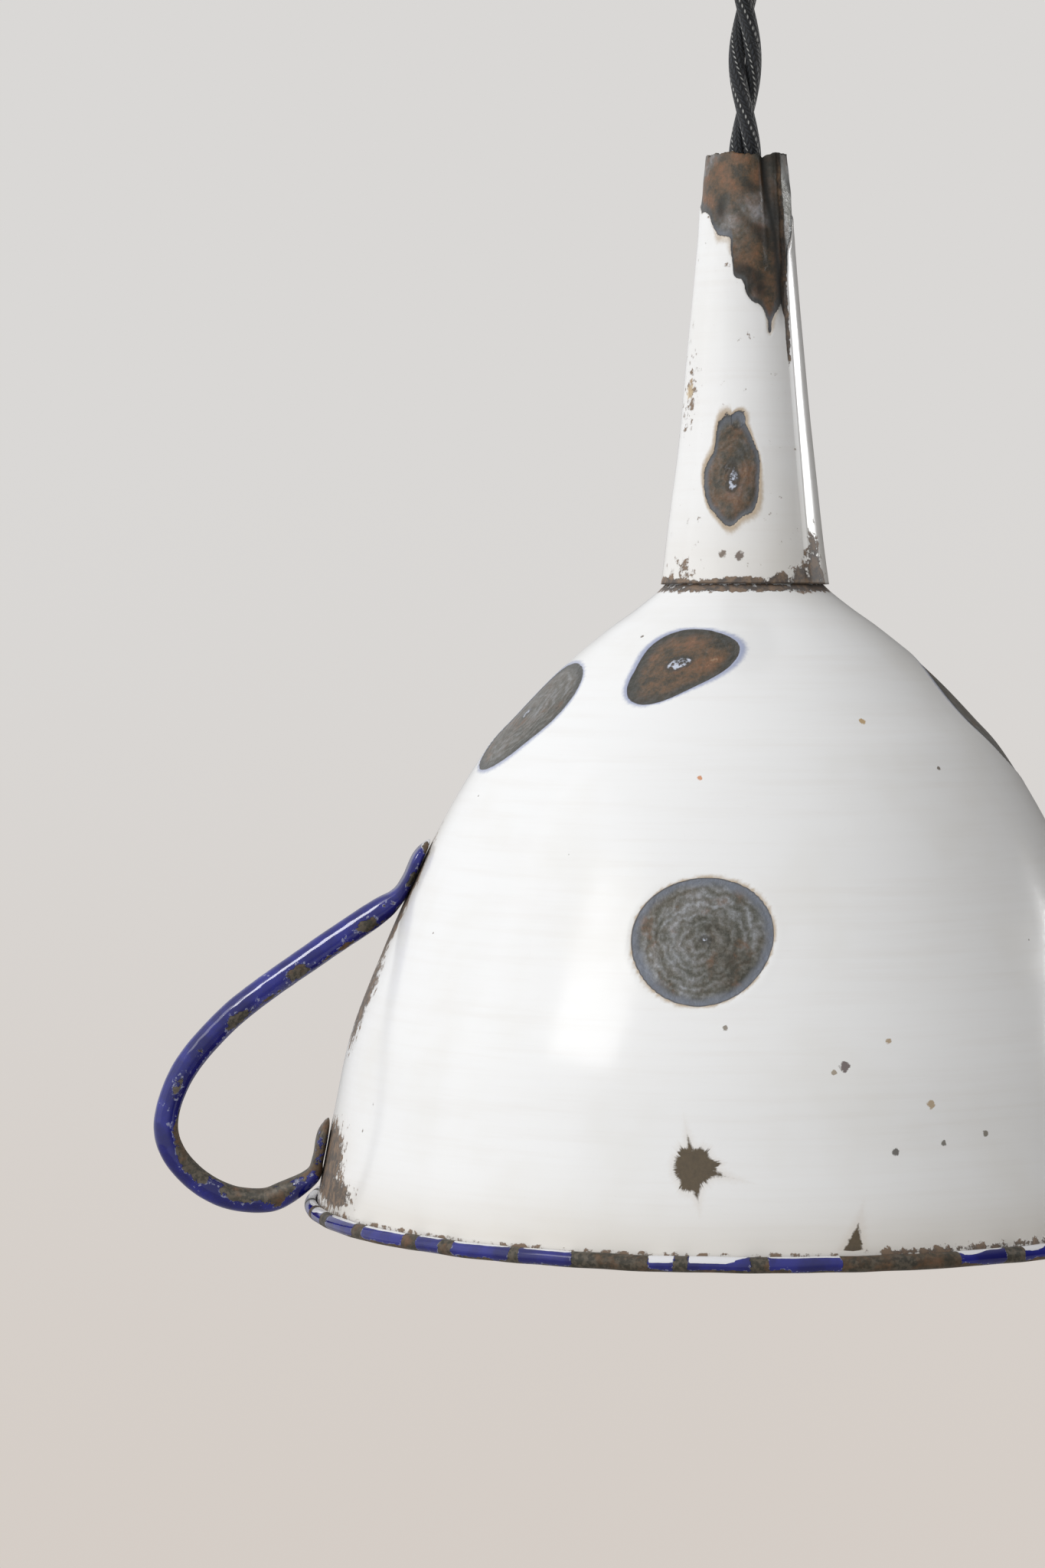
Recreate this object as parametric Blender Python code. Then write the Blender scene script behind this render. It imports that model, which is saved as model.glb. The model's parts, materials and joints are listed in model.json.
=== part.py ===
"""An enamelled steel funnel hung spout up as a pendant lamp, with its flex, lampholder, bulb and ceiling rose.

Metres, +Z up. The origin is the middle of the ceiling rose's base plate, where it meets the ceiling. The
flex hangs down the Z axis, and the funnel's handle points along -X. Each node is one closed solid.
"""

import math

import bmesh
import bpy
from mathutils import Matrix, Vector

# Fits
GAP = 0.0003
FLEX_PLAY = 0.0003

# Funnel
SHEET = 0.0007
RIM_RADIUS = 0.0860
RIM_WIRE_RADIUS = 0.00045
BOWL_DEPTH = 0.1225
NECK_RADIUS = 0.0162
COLLAR_HEIGHT = 0.0060
SPOUT_LENGTH = 0.0835
SPOUT_TIP_RADIUS = 0.0078
SEAM_START = math.radians(-47)
SEAM_END = math.radians(-22)
CURL_TURN = math.radians(305)

# The bowl's outer outline, as shares of its flare (neck to rim) and of its depth.
BOWL_OUTLINE = (
    (0.000, 0.008), (0.031, 0.023), (0.080, 0.044), (0.139, 0.067), (0.197, 0.092), (0.251, 0.117),
    (0.342, 0.165), (0.426, 0.215), (0.503, 0.264), (0.604, 0.354), (0.697, 0.455), (0.808, 0.595),
    (0.898, 0.727), (0.947, 0.851), (1.000, 1.000),
)
# The spout's outer outline, as shares of its taper (neck to tip) and of its length.
SPOUT_OUTLINE = (
    (0.000, 0.000), (0.130, 0.100), (0.335, 0.280), (0.512, 0.460), (0.690, 0.640), (0.833, 0.818),
    (0.905, 0.908), (1.000, 1.000),
)

# Handle
HANDLE_BAR = 0.0050
HANDLE_REACH = 0.0320
HANDLE_SPAN = 0.0540
HANDLE_ABOVE_RIM = 0.0070
FOOT_LENGTH = 0.0115
FOOT_WIDTH = 0.0080
FOOT_TIP_WIDTH = 0.0052
FOOT_THICKNESS = 0.0022
FOOT_TIP_THICKNESS = 0.0012
FOOT_ROOT_WIDTH = 1.3 * HANDLE_BAR
FOOT_ROOT_THICKNESS = 0.65 * HANDLE_BAR
# The loop between the feet, as shares of the reach outwards and of the drop from foot to foot.
HANDLE_LOOP = (
    (0.11, 0.065), (0.46, 0.239), (0.75, 0.398), (0.92, 0.546), (0.99, 0.672), (0.98, 0.806),
    (0.88, 0.913), (0.69, 1.009), (0.47, 1.070), (0.26, 1.085), (0.135, 1.060),
)

# Flex
FLEX_RADIUS = 0.00325
CORE_RADIUS = 0.0010
FREE_FLEX = 0.0385
BEND_LENGTH = 0.0050
ROSE_FLEX_RISE = 0.0060
HOLDER_FLEX_TAIL = 0.0005

# Ceiling rose
CUP_RADIUS = 0.0320
CUP_DEPTH = 0.0300
CUP_WALL = 0.0018
CUP_ROUND = 0.0060
CUP_ROUND_MIDDLE = 0.3 * CUP_ROUND
CUP_SHADOW_GAP = 0.0005
CUP_SCREW_BITE = 0.0045
PLATE_THICKNESS = 0.0060
PLATE_PLAY = 0.0012
FIXING_HOLE_RADIUS = 0.00225
FIXING_HOLE_INSET = 0.0110
CABLE_HOLE_RADIUS = 0.0050
CABLE_HOLE_INSET = 0.0100
BLOCK_LENGTH = 0.0220
BLOCK_WIDTH = 0.0120
BLOCK_HEIGHT = 0.0080
BLOCK_POLE = 0.0055
BLOCK_BITE = 0.0045

# Cord grips, on the rose and on the lampholder's nipple
NIPPLE_PLAY = 0.00045
NIPPLE_WALL = 0.0013
GRIP_WALL = 0.0020
GRIP_CHAMFER = 0.0010
GRUB_PROUD = 0.0012
ROSE_GRIP_DROP = 0.0080
HOLDER_GRIP_HEIGHT = 0.0120
NUT_WALL = 0.0020
NUT_HEIGHT = 0.0035
NIPPLE_ABOVE_NUT = 0.0050
NIPPLE_BELOW_CAP = 0.0060

# Screws
SCREW_RADIUS = 0.0015
SCREW_PLAY = 0.0003
HEAD_RADIUS = 0.0027
HEAD_HEIGHT = 0.0018
SLOT_WIDTH = 0.0007
SLOT_DEPTH = 0.0008

# Lampholder
SUPPORT_RADIUS = 0.0240
SUPPORT_THICKNESS = 0.0012
LOCK_WASHER_WIDTH = 0.0025
LOCK_WASHER_THICKNESS = 0.0008
HOLDER_WALL = 0.0020
HOLDER_ROOM = 0.0032
HOLDER_CAP_HEIGHT = 0.0200
HOLDER_DOME = 0.0140
HOLDER_SHOULDER_SHARE = 0.45
HOLDER_SKIRT_HEIGHT = 0.0257
HOLDER_LIP_HEIGHT = 0.0015
HOLDER_LIP_PLAY = 0.0023
INSERT_HEIGHT = 0.0085
INSERT_SET_IN = 0.0058
CONTACT_THICKNESS = 0.0005
TERMINAL_REACH = 0.0092
SHELL_WALL = 0.0005
SHELL_PLAY = 0.0007
CONTACT_DROP = 0.0036

# Bulb: a small globe bulb with a 26 mm screw cap
BULB_CAP_RADIUS = 0.0131
BULB_CAP_LENGTH = 0.0220
BULB_CAP_WALL = 0.0007
BUTTON_RADIUS = 0.0045
BUTTON_HEIGHT = 0.0011
INSULATOR_HEIGHT = 0.0045
INSULATOR_TOP_RADIUS = 0.0054
INSULATOR_PROUD = 0.00315
CAP_OPENING_RADIUS = 0.0098
CAP_BEVEL = 0.0013
BULB_RADIUS = 0.0225
BULB_NECK = 0.0240
BULB_NECK_FLARE = 0.0006
GLOBE_START = math.radians(48)
GLOBE_SWEEP = math.radians(138)
GLASS_WALL = 0.0008
STEM_RADIUS = 0.0030
FILAMENT_RADIUS = 0.0005
FILAMENT_SPREAD = 0.0085
FILAMENT_TURNS = 8
FILAMENT_HIGH = 0.0063
FILAMENT_LOW = -0.0095
STEM_LOW = 0.0101

BOWL_STEPS = 40
LARGE_STEPS = 32
MEDIUM_STEPS = 20
SMALL_STEPS = 10
DOME_STEPS = 5
GLOBE_STEPS = 7

# Radii that follow from the sizes above
BEAD_RADIUS = RIM_WIRE_RADIUS + GAP + SHEET
WALL_BOTTOM_RADIUS = RIM_RADIUS - 2 * BEAD_RADIUS + SHEET
NIPPLE_BORE = FLEX_RADIUS + NIPPLE_PLAY
NIPPLE_RADIUS = NIPPLE_BORE + NIPPLE_WALL
GRIP_BORE = FLEX_RADIUS + FLEX_PLAY
GRIP_RADIUS = NIPPLE_RADIUS + GRIP_WALL
CORE_SPREAD = FLEX_RADIUS / 2
SHELL_BORE = BULB_CAP_RADIUS + SHELL_PLAY
HOLDER_INNER = SHELL_BORE + SHELL_WALL + HOLDER_ROOM
HOLDER_RADIUS = HOLDER_INNER + HOLDER_WALL
CUP_INNER = CUP_RADIUS - CUP_WALL
PLATE_RADIUS = CUP_INNER - PLATE_PLAY

# Heights that follow from the sizes above
CUP_BOTTOM = -CUP_DEPTH
ROSE_GRIP_BOTTOM = CUP_BOTTOM - ROSE_GRIP_DROP
ROSE_FLEX_TOP = CUP_BOTTOM + CUP_WALL + ROSE_FLEX_RISE
SPOUT_TOP = ROSE_GRIP_BOTTOM - FREE_FLEX
NECK = SPOUT_TOP - SPOUT_LENGTH
WALL_DEPTH = BOWL_DEPTH - BEAD_RADIUS
HOLDER_GRIP_TOP = NECK + HOLDER_GRIP_HEIGHT


def clear_scene():
    """Remove what the start-up file holds."""
    for obj in list(bpy.data.objects):
        bpy.data.objects.remove(obj, do_unlink=True)


def material(name, colour, roughness, metallic=0.0, alpha=1.0):
    """A plain Principled material."""
    found = bpy.data.materials.new(name)
    found.use_nodes = True
    shader = found.node_tree.nodes["Principled BSDF"]
    shader.inputs["Base Color"].default_value = (*colour, 1.0)
    shader.inputs["Roughness"].default_value = roughness
    shader.inputs["Metallic"].default_value = metallic
    shader.inputs["Alpha"].default_value = alpha
    return found


def add(name, bm, look):
    """Turn a bmesh into an object, with its faces outwards and its round parts shaded smooth."""
    bmesh.ops.remove_doubles(bm, verts=bm.verts, dist=1e-7)
    bmesh.ops.recalc_face_normals(bm, faces=bm.faces)
    mesh = bpy.data.meshes.new(name)
    bm.to_mesh(mesh)
    bm.free()
    mesh.materials.append(look)
    mesh.shade_smooth()
    mesh.set_sharp_from_angle(angle=math.radians(35))
    obj = bpy.data.objects.new(name, mesh)
    bpy.context.scene.collection.objects.link(obj)
    return obj


def turned(name, outline, look, steps=MEDIUM_STEPS):
    """A solid of revolution about Z. The outline is (radius, height) points, closed round."""
    bm = bmesh.new()
    rim = [bm.verts.new((radius, 0, height)) for radius, height in outline]
    edges = []
    for first, second in zip(rim, rim[1:] + rim[:1]):
        if first.co.x > 0 or second.co.x > 0:
            edges.append(bm.edges.new((first, second)))
    bmesh.ops.spin(
        bm, geom=rim + edges, cent=(0, 0, 0), axis=(0, 0, 1), angle=2 * math.pi, steps=steps, use_merge=True
    )
    return add(name, bm, look)


def ring(name, outer, inner, low, high, look):
    """A plain ring, or a tube, between two heights."""
    outline = [(inner, high), (outer, high), (outer, low), (inner, low)]
    return turned(name, outline, look)


def rod_mesh(radius, start, end, steps=SMALL_STEPS):
    """A bmesh cylinder from one point to another."""
    bm = bmesh.new()
    run = Vector(end) - Vector(start)
    bmesh.ops.create_cone(
        bm, cap_ends=True, segments=steps, radius1=radius, radius2=radius, depth=run.length
    )
    bmesh.ops.rotate(bm, verts=bm.verts, matrix=run.to_track_quat("Z", "Y").to_matrix())
    bmesh.ops.translate(bm, verts=bm.verts, vec=(Vector(start) + Vector(end)) / 2)
    return bm


def box_mesh(low, high):
    """A bmesh box between two corners."""
    bm = bmesh.new()
    size = [b - a for a, b in zip(low, high)]
    bmesh.ops.create_cube(bm, size=1.0)
    bmesh.ops.scale(bm, vec=size, verts=bm.verts)
    bmesh.ops.translate(bm, verts=bm.verts, vec=[(a + b) / 2 for a, b in zip(low, high)])
    return bm


def change(obj, bm, operation, number):
    """Cut a shape from an object, or join one to it, with a hidden helper."""
    helper = add(f"{obj.name}_{operation.lower()}_{number}", bm, obj.data.materials[0])
    helper.hide_render = True
    helper.display_type = "WIRE"
    modifier = obj.modifiers.new(helper.name, "BOOLEAN")
    modifier.operation = operation
    modifier.object = helper
    modifier.solver = "EXACT"


def cut(obj, *shapes):
    """Cut each shape from the object."""
    for number, bm in enumerate(shapes):
        change(obj, bm, "DIFFERENCE", number)


def sheet_outline(path, thickness):
    """The closed outline of a sheet of this thickness whose middle follows the path."""
    sides = ([], [])
    for i, point in enumerate(path):
        before = path[max(i - 1, 0)]
        after = path[min(i + 1, len(path) - 1)]
        here = Vector(point)
        first = (here - Vector(before)).normalized() if i else (Vector(after) - here).normalized()
        last = (Vector(after) - here).normalized() if i + 1 < len(path) else first
        mitre = (first + last).normalized()
        normal = Vector((-mitre.y, mitre.x))
        reach = thickness / 2 / max(mitre.dot(first), 0.5)
        sides[0].append(tuple(here + normal * reach))
        sides[1].append(tuple(here - normal * reach))
    return sides[0] + sides[1][::-1]


def at_share(outline, share, axis):
    """The other coordinate of an outline of shares, where this one has this value."""
    for start, end in zip(outline, outline[1:]):
        if start[axis] <= share <= end[axis]:
            along = (share - start[axis]) / (end[axis] - start[axis])
            return start[1 - axis] + along * (end[1 - axis] - start[1 - axis])
    return outline[-1][1 - axis]


def bowl_radius(depth):
    """The bowl's outer radius this far below the neck."""
    share = at_share(BOWL_OUTLINE, depth / WALL_DEPTH, 1)
    return NECK_RADIUS + share * (WALL_BOTTOM_RADIUS - NECK_RADIUS)


def bowl_depth(radius):
    """How far below the neck the bowl's outer face has this radius."""
    share = (radius - NECK_RADIUS) / (WALL_BOTTOM_RADIUS - NECK_RADIUS)
    return at_share(BOWL_OUTLINE, share, 0) * WALL_DEPTH


def spout_radius(height):
    """The spout's outer radius this far above the neck."""
    share = at_share(SPOUT_OUTLINE, height / SPOUT_LENGTH, 1)
    return NECK_RADIUS + share * (SPOUT_TIP_RADIUS - NECK_RADIUS)


def inner_depth(radius):
    """How far below the neck the bowl's inner face has this radius."""
    step = 0.0005
    fall = Vector((step, -(bowl_depth(radius + step) - bowl_depth(radius)))).normalized()
    return bowl_depth(radius) + SHEET / fall.x


SUPPORT_TOP = NECK - inner_depth(SUPPORT_RADIUS) - GAP
HOLDER_CAP_TOP = SUPPORT_TOP - SUPPORT_THICKNESS - GAP
HOLDER_FLEX_END = HOLDER_CAP_TOP - NIPPLE_BELOW_CAP - HOLDER_FLEX_TAIL
INSERT_TOP = HOLDER_CAP_TOP - HOLDER_CAP_HEIGHT + INSERT_SET_IN
INSERT_LOW = INSERT_TOP - INSERT_HEIGHT
SKIRT_LOW = HOLDER_CAP_TOP - HOLDER_CAP_HEIGHT - GAP - HOLDER_SKIRT_HEIGHT
BUTTON_TOP = INSERT_LOW - CONTACT_DROP


def make_bowl(look):
    """The bell: a collar inside the spout, the shoulder and wall, and the rim curled outwards."""
    collar = spout_radius(COLLAR_HEIGHT) - SHEET - GAP - SHEET / 2
    path = [(collar, NECK + COLLAR_HEIGHT), (collar, NECK)]
    for flare, depth in BOWL_OUTLINE:
        radius = NECK_RADIUS + flare * (WALL_BOTTOM_RADIUS - NECK_RADIUS) - SHEET / 2
        path.append((radius, NECK - depth * WALL_DEPTH))
    curl = BEAD_RADIUS - SHEET / 2
    middle = RIM_RADIUS - BEAD_RADIUS
    turns = 6
    for i in range(1, turns + 1):
        angle = math.pi + CURL_TURN * i / turns
        path.append((middle + curl * math.cos(angle), NECK - WALL_DEPTH + curl * math.sin(angle)))
    return turned("bowl_shell", sheet_outline(path, SHEET), look, BOWL_STEPS)


def make_rim_wire(look):
    """The wire that the rim is rolled round."""
    middle = RIM_RADIUS - BEAD_RADIUS
    sides = 6
    outline = []
    for i in range(sides):
        angle = math.tau * i / sides
        across = RIM_WIRE_RADIUS * math.cos(angle)
        outline.append((middle + across, NECK - WALL_DEPTH + RIM_WIRE_RADIUS * math.sin(angle)))
    return turned("rim_wire", outline, look, BOWL_STEPS)


def make_spout(look):
    """The rolled cone, with one edge of the sheet lapped over the other along its length."""
    heights = [share * SPOUT_LENGTH for _, share in SPOUT_OUTLINE]
    outer = [(spout_radius(height), NECK + height) for height in heights]
    inner = [(radius - SHEET, height) for radius, height in outer]
    spout = turned("spout_tube", outer[::-1] + inner, look, LARGE_STEPS)
    for vertex in spout.data.vertices:
        x, y, z = vertex.co
        reach = math.hypot(x, y)
        on_seam = SEAM_START <= math.atan2(y, x) <= SEAM_END
        if on_seam and reach > spout_radius(min(z - NECK, SPOUT_LENGTH)) - SHEET / 2:
            lift = 1 + SHEET / reach
            vertex.co.x = x * lift
            vertex.co.y = y * lift
    return spout


def foot_point(depth, thickness):
    """The middle of a foot that lies on the bowl: its place (outwards, height) at this depth."""
    step = 0.002
    radius = bowl_radius(depth)
    fall = Vector((bowl_radius(depth + step) - radius, -step)).normalized()
    outwards = Vector((-fall.y, fall.x))
    place = Vector((radius, NECK - depth)) + outwards * (GAP + thickness / 2)
    return (place.x, place.y)


def foot_stations(top):
    """(outwards, height, width, thickness) down a foot, from its tip to where the bar leaves it."""
    sections = (
        (0.0, FOOT_TIP_WIDTH, FOOT_TIP_THICKNESS),
        (0.3, FOOT_WIDTH, FOOT_THICKNESS),
        (0.7, FOOT_WIDTH, FOOT_THICKNESS),
        (1.0, FOOT_ROOT_WIDTH, FOOT_ROOT_THICKNESS),
    )
    return [(*foot_point(top + share * FOOT_LENGTH, thick), wide, thick) for share, wide, thick in sections]


def handle_stations():
    """(outwards, height, width, thickness) along the handle, from the upper foot's tip to the lower one's."""
    lower_top = BOWL_DEPTH - HANDLE_ABOVE_RIM - FOOT_LENGTH
    upper = foot_stations(lower_top - HANDLE_SPAN)
    lower = foot_stations(lower_top)
    top_out, top_height = upper[-1][:2]
    low_out, low_height = lower[-1][:2]
    loop = []
    for reach, drop in HANDLE_LOOP:
        outwards = top_out + drop * (low_out - top_out) + reach * HANDLE_REACH
        height = top_height + drop * (low_height - top_height)
        loop.append((outwards, height, HANDLE_BAR, HANDLE_BAR))
    return upper + loop + lower[::-1]


def smooth_between(points, pieces):
    """A Catmull-Rom curve through the points, with this many pieces between each two."""
    vectors = [Vector(point) for point in points]
    ends = [2 * vectors[0] - vectors[1]] + vectors + [2 * vectors[-1] - vectors[-2]]
    found = []
    for a, b, c, d in zip(ends, ends[1:], ends[2:], ends[3:]):
        for i in range(pieces):
            t = i / pieces
            square = (2 * a - 5 * b + 4 * c - d) * t**2
            found.append((2 * b + (c - a) * t + square + (3 * b - a - 3 * c + d) * t**3) / 2)
    return found + [vectors[-1]]


def make_handle(look, sides=8):
    """The bent bar: a round section along the loop that flattens into a foot at each end."""
    stations = smooth_between(handle_stations(), 2)
    bm = bmesh.new()
    rings = []
    for i, (outwards, height, wide, thick) in enumerate(stations):
        before = stations[max(i - 1, 0)]
        after = stations[min(i + 1, len(stations) - 1)]
        run = Vector((after[0] - before[0], after[1] - before[1])).normalized()
        ring_of = []
        for k in range(sides):
            angle = math.tau * k / sides
            across = thick / 2 * math.cos(angle)
            ring_of.append(
                bm.verts.new((-(outwards - run.y * across), wide / 2 * math.sin(angle), height + run.x * across))
            )
        rings.append(ring_of)
    for first, second in zip(rings, rings[1:]):
        for k in range(sides):
            bm.faces.new((first[k], first[k - 1], second[k - 1], second[k]))
    bm.faces.new(rings[0])
    bm.faces.new(rings[-1][::-1])
    return add("handle", bm, look)


def make_screw(name, head, tip, look):
    """A slotted cheese-head screw from its head's outer face to its tip."""
    start = Vector(head)
    run = (Vector(tip) - start).normalized()
    screw = add(name, rod_mesh(HEAD_RADIUS, start, start + run * HEAD_HEIGHT), look)
    change(screw, rod_mesh(SCREW_RADIUS, start + run * HEAD_HEIGHT / 2, tip), "UNION", 0)
    across = Vector((0, 0, 1)) if abs(run.z) < 0.5 else Vector((0, 1, 0))
    side = run.cross(across)
    low = [-SLOT_DEPTH, -HEAD_RADIUS * 1.5, -SLOT_WIDTH / 2]
    high = [SLOT_DEPTH, HEAD_RADIUS * 1.5, SLOT_WIDTH / 2]
    slot = box_mesh(low, high)
    for vertex in slot.verts:
        x, y, z = vertex.co
        vertex.co = start + run * x + across * y + side * z
    cut(screw, slot)
    return screw


def make_grub(name, start, tip, look):
    """A headless grip screw from its outer end to its tip, with a driver slot."""
    screw = add(name, rod_mesh(SCREW_RADIUS, start, tip), look)
    run = (Vector(tip) - Vector(start)).normalized()
    slot = box_mesh(
        (-SLOT_DEPTH, -SCREW_RADIUS * 1.5, -SLOT_WIDTH / 2), (SLOT_DEPTH, SCREW_RADIUS * 1.5, SLOT_WIDTH / 2)
    )
    for vertex in slot.verts:
        x, y, z = vertex.co
        vertex.co = Vector(start) + run * x + Vector((0, y, z))
    cut(screw, slot)
    return screw


def make_nut(name, low, high, look):
    """A hexagon nut on the nipple's thread."""
    bm = bmesh.new()
    corner = (NIPPLE_RADIUS + NUT_WALL) * 2 / math.sqrt(3)
    bmesh.ops.create_cone(bm, cap_ends=True, segments=6, radius1=corner, radius2=corner, depth=high - low)
    bmesh.ops.translate(bm, verts=bm.verts, vec=(0, 0, (low + high) / 2))
    nut = add(name, bm, look)
    cut(nut, rod_mesh(NIPPLE_RADIUS + GAP, (0, 0, low - NUT_WALL), (0, 0, high + NUT_WALL), MEDIUM_STEPS))
    return nut


def make_wire(name, points, radius, look):
    """A round wire through the points."""
    curve = bpy.data.curves.new(name, "CURVE")
    curve.dimensions = "3D"
    curve.bevel_depth = radius
    curve.bevel_resolution = 1
    curve.use_fill_caps = True
    spline = curve.splines.new("POLY")
    spline.points.add(len(points) - 1)
    for point, place in zip(spline.points, points):
        point.co = (*place, 1.0)
    curve.materials.append(look)
    wire = bpy.data.objects.new(name, curve)
    bpy.context.scene.collection.objects.link(wire)
    return wire


def make_flex(name, high, low, look, ball):
    """A straight run of the flex. With ball set, its upper end is round about the bend's pivot."""
    outline = [(0, high)]
    if ball:
        for i in range(1, 5):
            angle = math.pi / 2 * i / 4
            drop = FLEX_RADIUS * (1 - math.cos(angle))
            outline.append((FLEX_RADIUS * math.sin(angle), high - drop))
    else:
        outline.append((FLEX_RADIUS, high))
    outline += [(FLEX_RADIUS, low), (0, low)]
    return turned(name, outline, look, SMALL_STEPS)


def cut_grub_hole(grip, height):
    """A grip's side hole for its grip screw."""
    cut(grip, side_hole(GRIP_RADIUS, height, GRIP_RADIUS - GRIP_BORE / 2))


def side_hole(edge, height, depth):
    """A cutter along X for a screw that enters at this edge, towards the axis."""
    outwards = math.copysign(1, edge)
    start = (edge + outwards * 2 * SCREW_RADIUS, 0, height)
    return rod_mesh(SCREW_RADIUS + SCREW_PLAY, start, (edge - outwards * depth, 0, height))


def make_plate(look):
    """The rose's base plate: its top face is the ceiling face, with two fixing holes and a cable hole."""
    outline = [(0, 0), (PLATE_RADIUS, 0), (PLATE_RADIUS, -PLATE_THICKNESS), (0, -PLATE_THICKNESS)]
    plate = turned("rose_plate", outline, look, LARGE_STEPS)
    through = 2 * PLATE_THICKNESS
    cable = PLATE_RADIUS - CABLE_HOLE_INSET
    holes = [rod_mesh(CABLE_HOLE_RADIUS, (cable, 0, -through), (cable, 0, through), MEDIUM_STEPS)]
    for side in (-1, 1):
        place = side * (PLATE_RADIUS - FIXING_HOLE_INSET)
        holes.append(rod_mesh(FIXING_HOLE_RADIUS, (0, place, -through), (0, place, through), MEDIUM_STEPS))
        holes.append(side_hole_y(side * PLATE_RADIUS, -PLATE_THICKNESS / 2, CUP_SCREW_BITE + GAP))
    cut(plate, *holes)
    return plate


def side_hole_y(edge, height, depth):
    """A cutter along Y for a screw that enters at this edge, towards the axis."""
    bm = side_hole(edge, height, depth)
    bmesh.ops.rotate(bm, verts=bm.verts, matrix=Matrix.Rotation(math.pi / 2, 3, "Z"))
    return bm


def make_cup(look):
    """The rose's cup: open to the ceiling, with a rounded bottom edge and holes for its screws."""
    neck = NIPPLE_RADIUS + GAP
    floor = CUP_BOTTOM + CUP_WALL
    outline = [
        (CUP_INNER, -CUP_SHADOW_GAP), (CUP_RADIUS, -CUP_SHADOW_GAP), (CUP_RADIUS, CUP_BOTTOM + CUP_ROUND),
        (CUP_RADIUS - CUP_ROUND_MIDDLE, CUP_BOTTOM + CUP_ROUND_MIDDLE), (CUP_RADIUS - CUP_ROUND, CUP_BOTTOM),
        (neck, CUP_BOTTOM), (neck, floor), (CUP_INNER - CUP_ROUND, floor),
        (CUP_INNER - CUP_ROUND_MIDDLE, floor + CUP_ROUND_MIDDLE), (CUP_INNER, floor + CUP_ROUND),
    ]
    cup = turned("rose_cup", outline, look, LARGE_STEPS)
    cut(cup, *(side_hole_y(side * CUP_RADIUS, -PLATE_THICKNESS / 2, 2 * CUP_WALL) for side in (-1, 1)))
    return cup


def make_terminals(looks):
    """The rose's terminal block with its two screws, and the cores that go into it."""
    top = -PLATE_THICKNESS - GAP
    low = top - BLOCK_HEIGHT
    half_width = BLOCK_WIDTH / 2
    row = half_width / 2
    corners = ((-BLOCK_LENGTH / 2, -half_width, low), (BLOCK_LENGTH / 2, half_width, top))
    block = add("rose_terminal_block", box_mesh(*corners), looks["porcelain"])
    rise = low - ROSE_FLEX_TOP
    holes = []
    for side, pole_name in ((-1, "live"), (1, "neutral")):
        pole = side * BLOCK_POLE
        hole_end = low + BLOCK_BITE + GAP
        holes.append(rod_mesh(SCREW_RADIUS + SCREW_PLAY, (pole, row, low - GAP), (pole, row, hole_end)))
        holes.append(rod_mesh(CORE_RADIUS + GAP, (pole, -row, low - GAP), (pole, -row, hole_end)))
        head = (pole, row, low - GAP - HEAD_HEIGHT)
        make_screw(f"rose_terminal_screw_{pole_name}", head, (pole, row, low + BLOCK_BITE), looks["brass"])
        spread = side * CORE_SPREAD
        route = [
            (spread, 0, ROSE_FLEX_TOP + GAP),
            (spread, 0, ROSE_FLEX_TOP + 0.15 * rise),
            (spread * 1.4, -row * 0.3, ROSE_FLEX_TOP + 0.38 * rise),
            (pole * 0.9, -row * 0.9, ROSE_FLEX_TOP + 0.75 * rise),
            (pole, -row, low),
            (pole, -row, low + BLOCK_BITE),
        ]
        make_wire(f"rose_core_{pole_name}", smooth_between(route, 4), CORE_RADIUS, looks[pole_name])
    cut(block, *holes)


def make_rose(looks):
    """The ceiling rose: plate, cup and its screws, terminal block, and the cord grip with its nut."""
    make_plate(looks["bakelite"])
    make_cup(looks["bakelite"])
    middle = -PLATE_THICKNESS / 2
    for side, end in ((-1, "front"), (1, "back")):
        head = (0, side * (CUP_RADIUS + GAP + HEAD_HEIGHT), middle)
        tip = (0, side * (PLATE_RADIUS - CUP_SCREW_BITE), middle)
        make_screw(f"rose_cup_screw_{end}", head, tip, looks["brass"])
    make_terminals(looks)

    nut_low = CUP_BOTTOM + CUP_WALL + GAP
    nut_high = nut_low + NUT_HEIGHT
    shoulder = CUP_BOTTOM - GAP
    outline = [
        (GRIP_BORE, nut_high + GAP), (NIPPLE_RADIUS, nut_high + GAP), (NIPPLE_RADIUS, shoulder),
        (GRIP_RADIUS, shoulder), (GRIP_RADIUS, ROSE_GRIP_BOTTOM + GRIP_CHAMFER),
        (GRIP_RADIUS - GRIP_CHAMFER, ROSE_GRIP_BOTTOM), (GRIP_BORE, ROSE_GRIP_BOTTOM),
    ]
    grip = turned("rose_grip", outline, looks["brass"])
    screw_height = (ROSE_GRIP_BOTTOM + shoulder) / 2
    cut_grub_hole(grip, screw_height)
    make_nut("rose_grip_nut", nut_low, nut_high, looks["brass"])
    make_grub("rose_grip_screw", screw_height, looks["steel"])


def make_grub(name, height, look):
    """A headless screw through a cord grip's side, up against the flex, with a driver slot."""
    outer = GRIP_RADIUS + GRUB_PROUD
    screw = add(name, rod_mesh(SCREW_RADIUS, (outer, 0, height), (GRIP_BORE + GAP, 0, height)), look)
    low = (outer - SLOT_DEPTH, -2 * SCREW_RADIUS, height - SLOT_WIDTH / 2)
    cut(screw, box_mesh(low, (outer + SLOT_DEPTH, 2 * SCREW_RADIUS, height + SLOT_WIDTH / 2)))
    return screw


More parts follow.
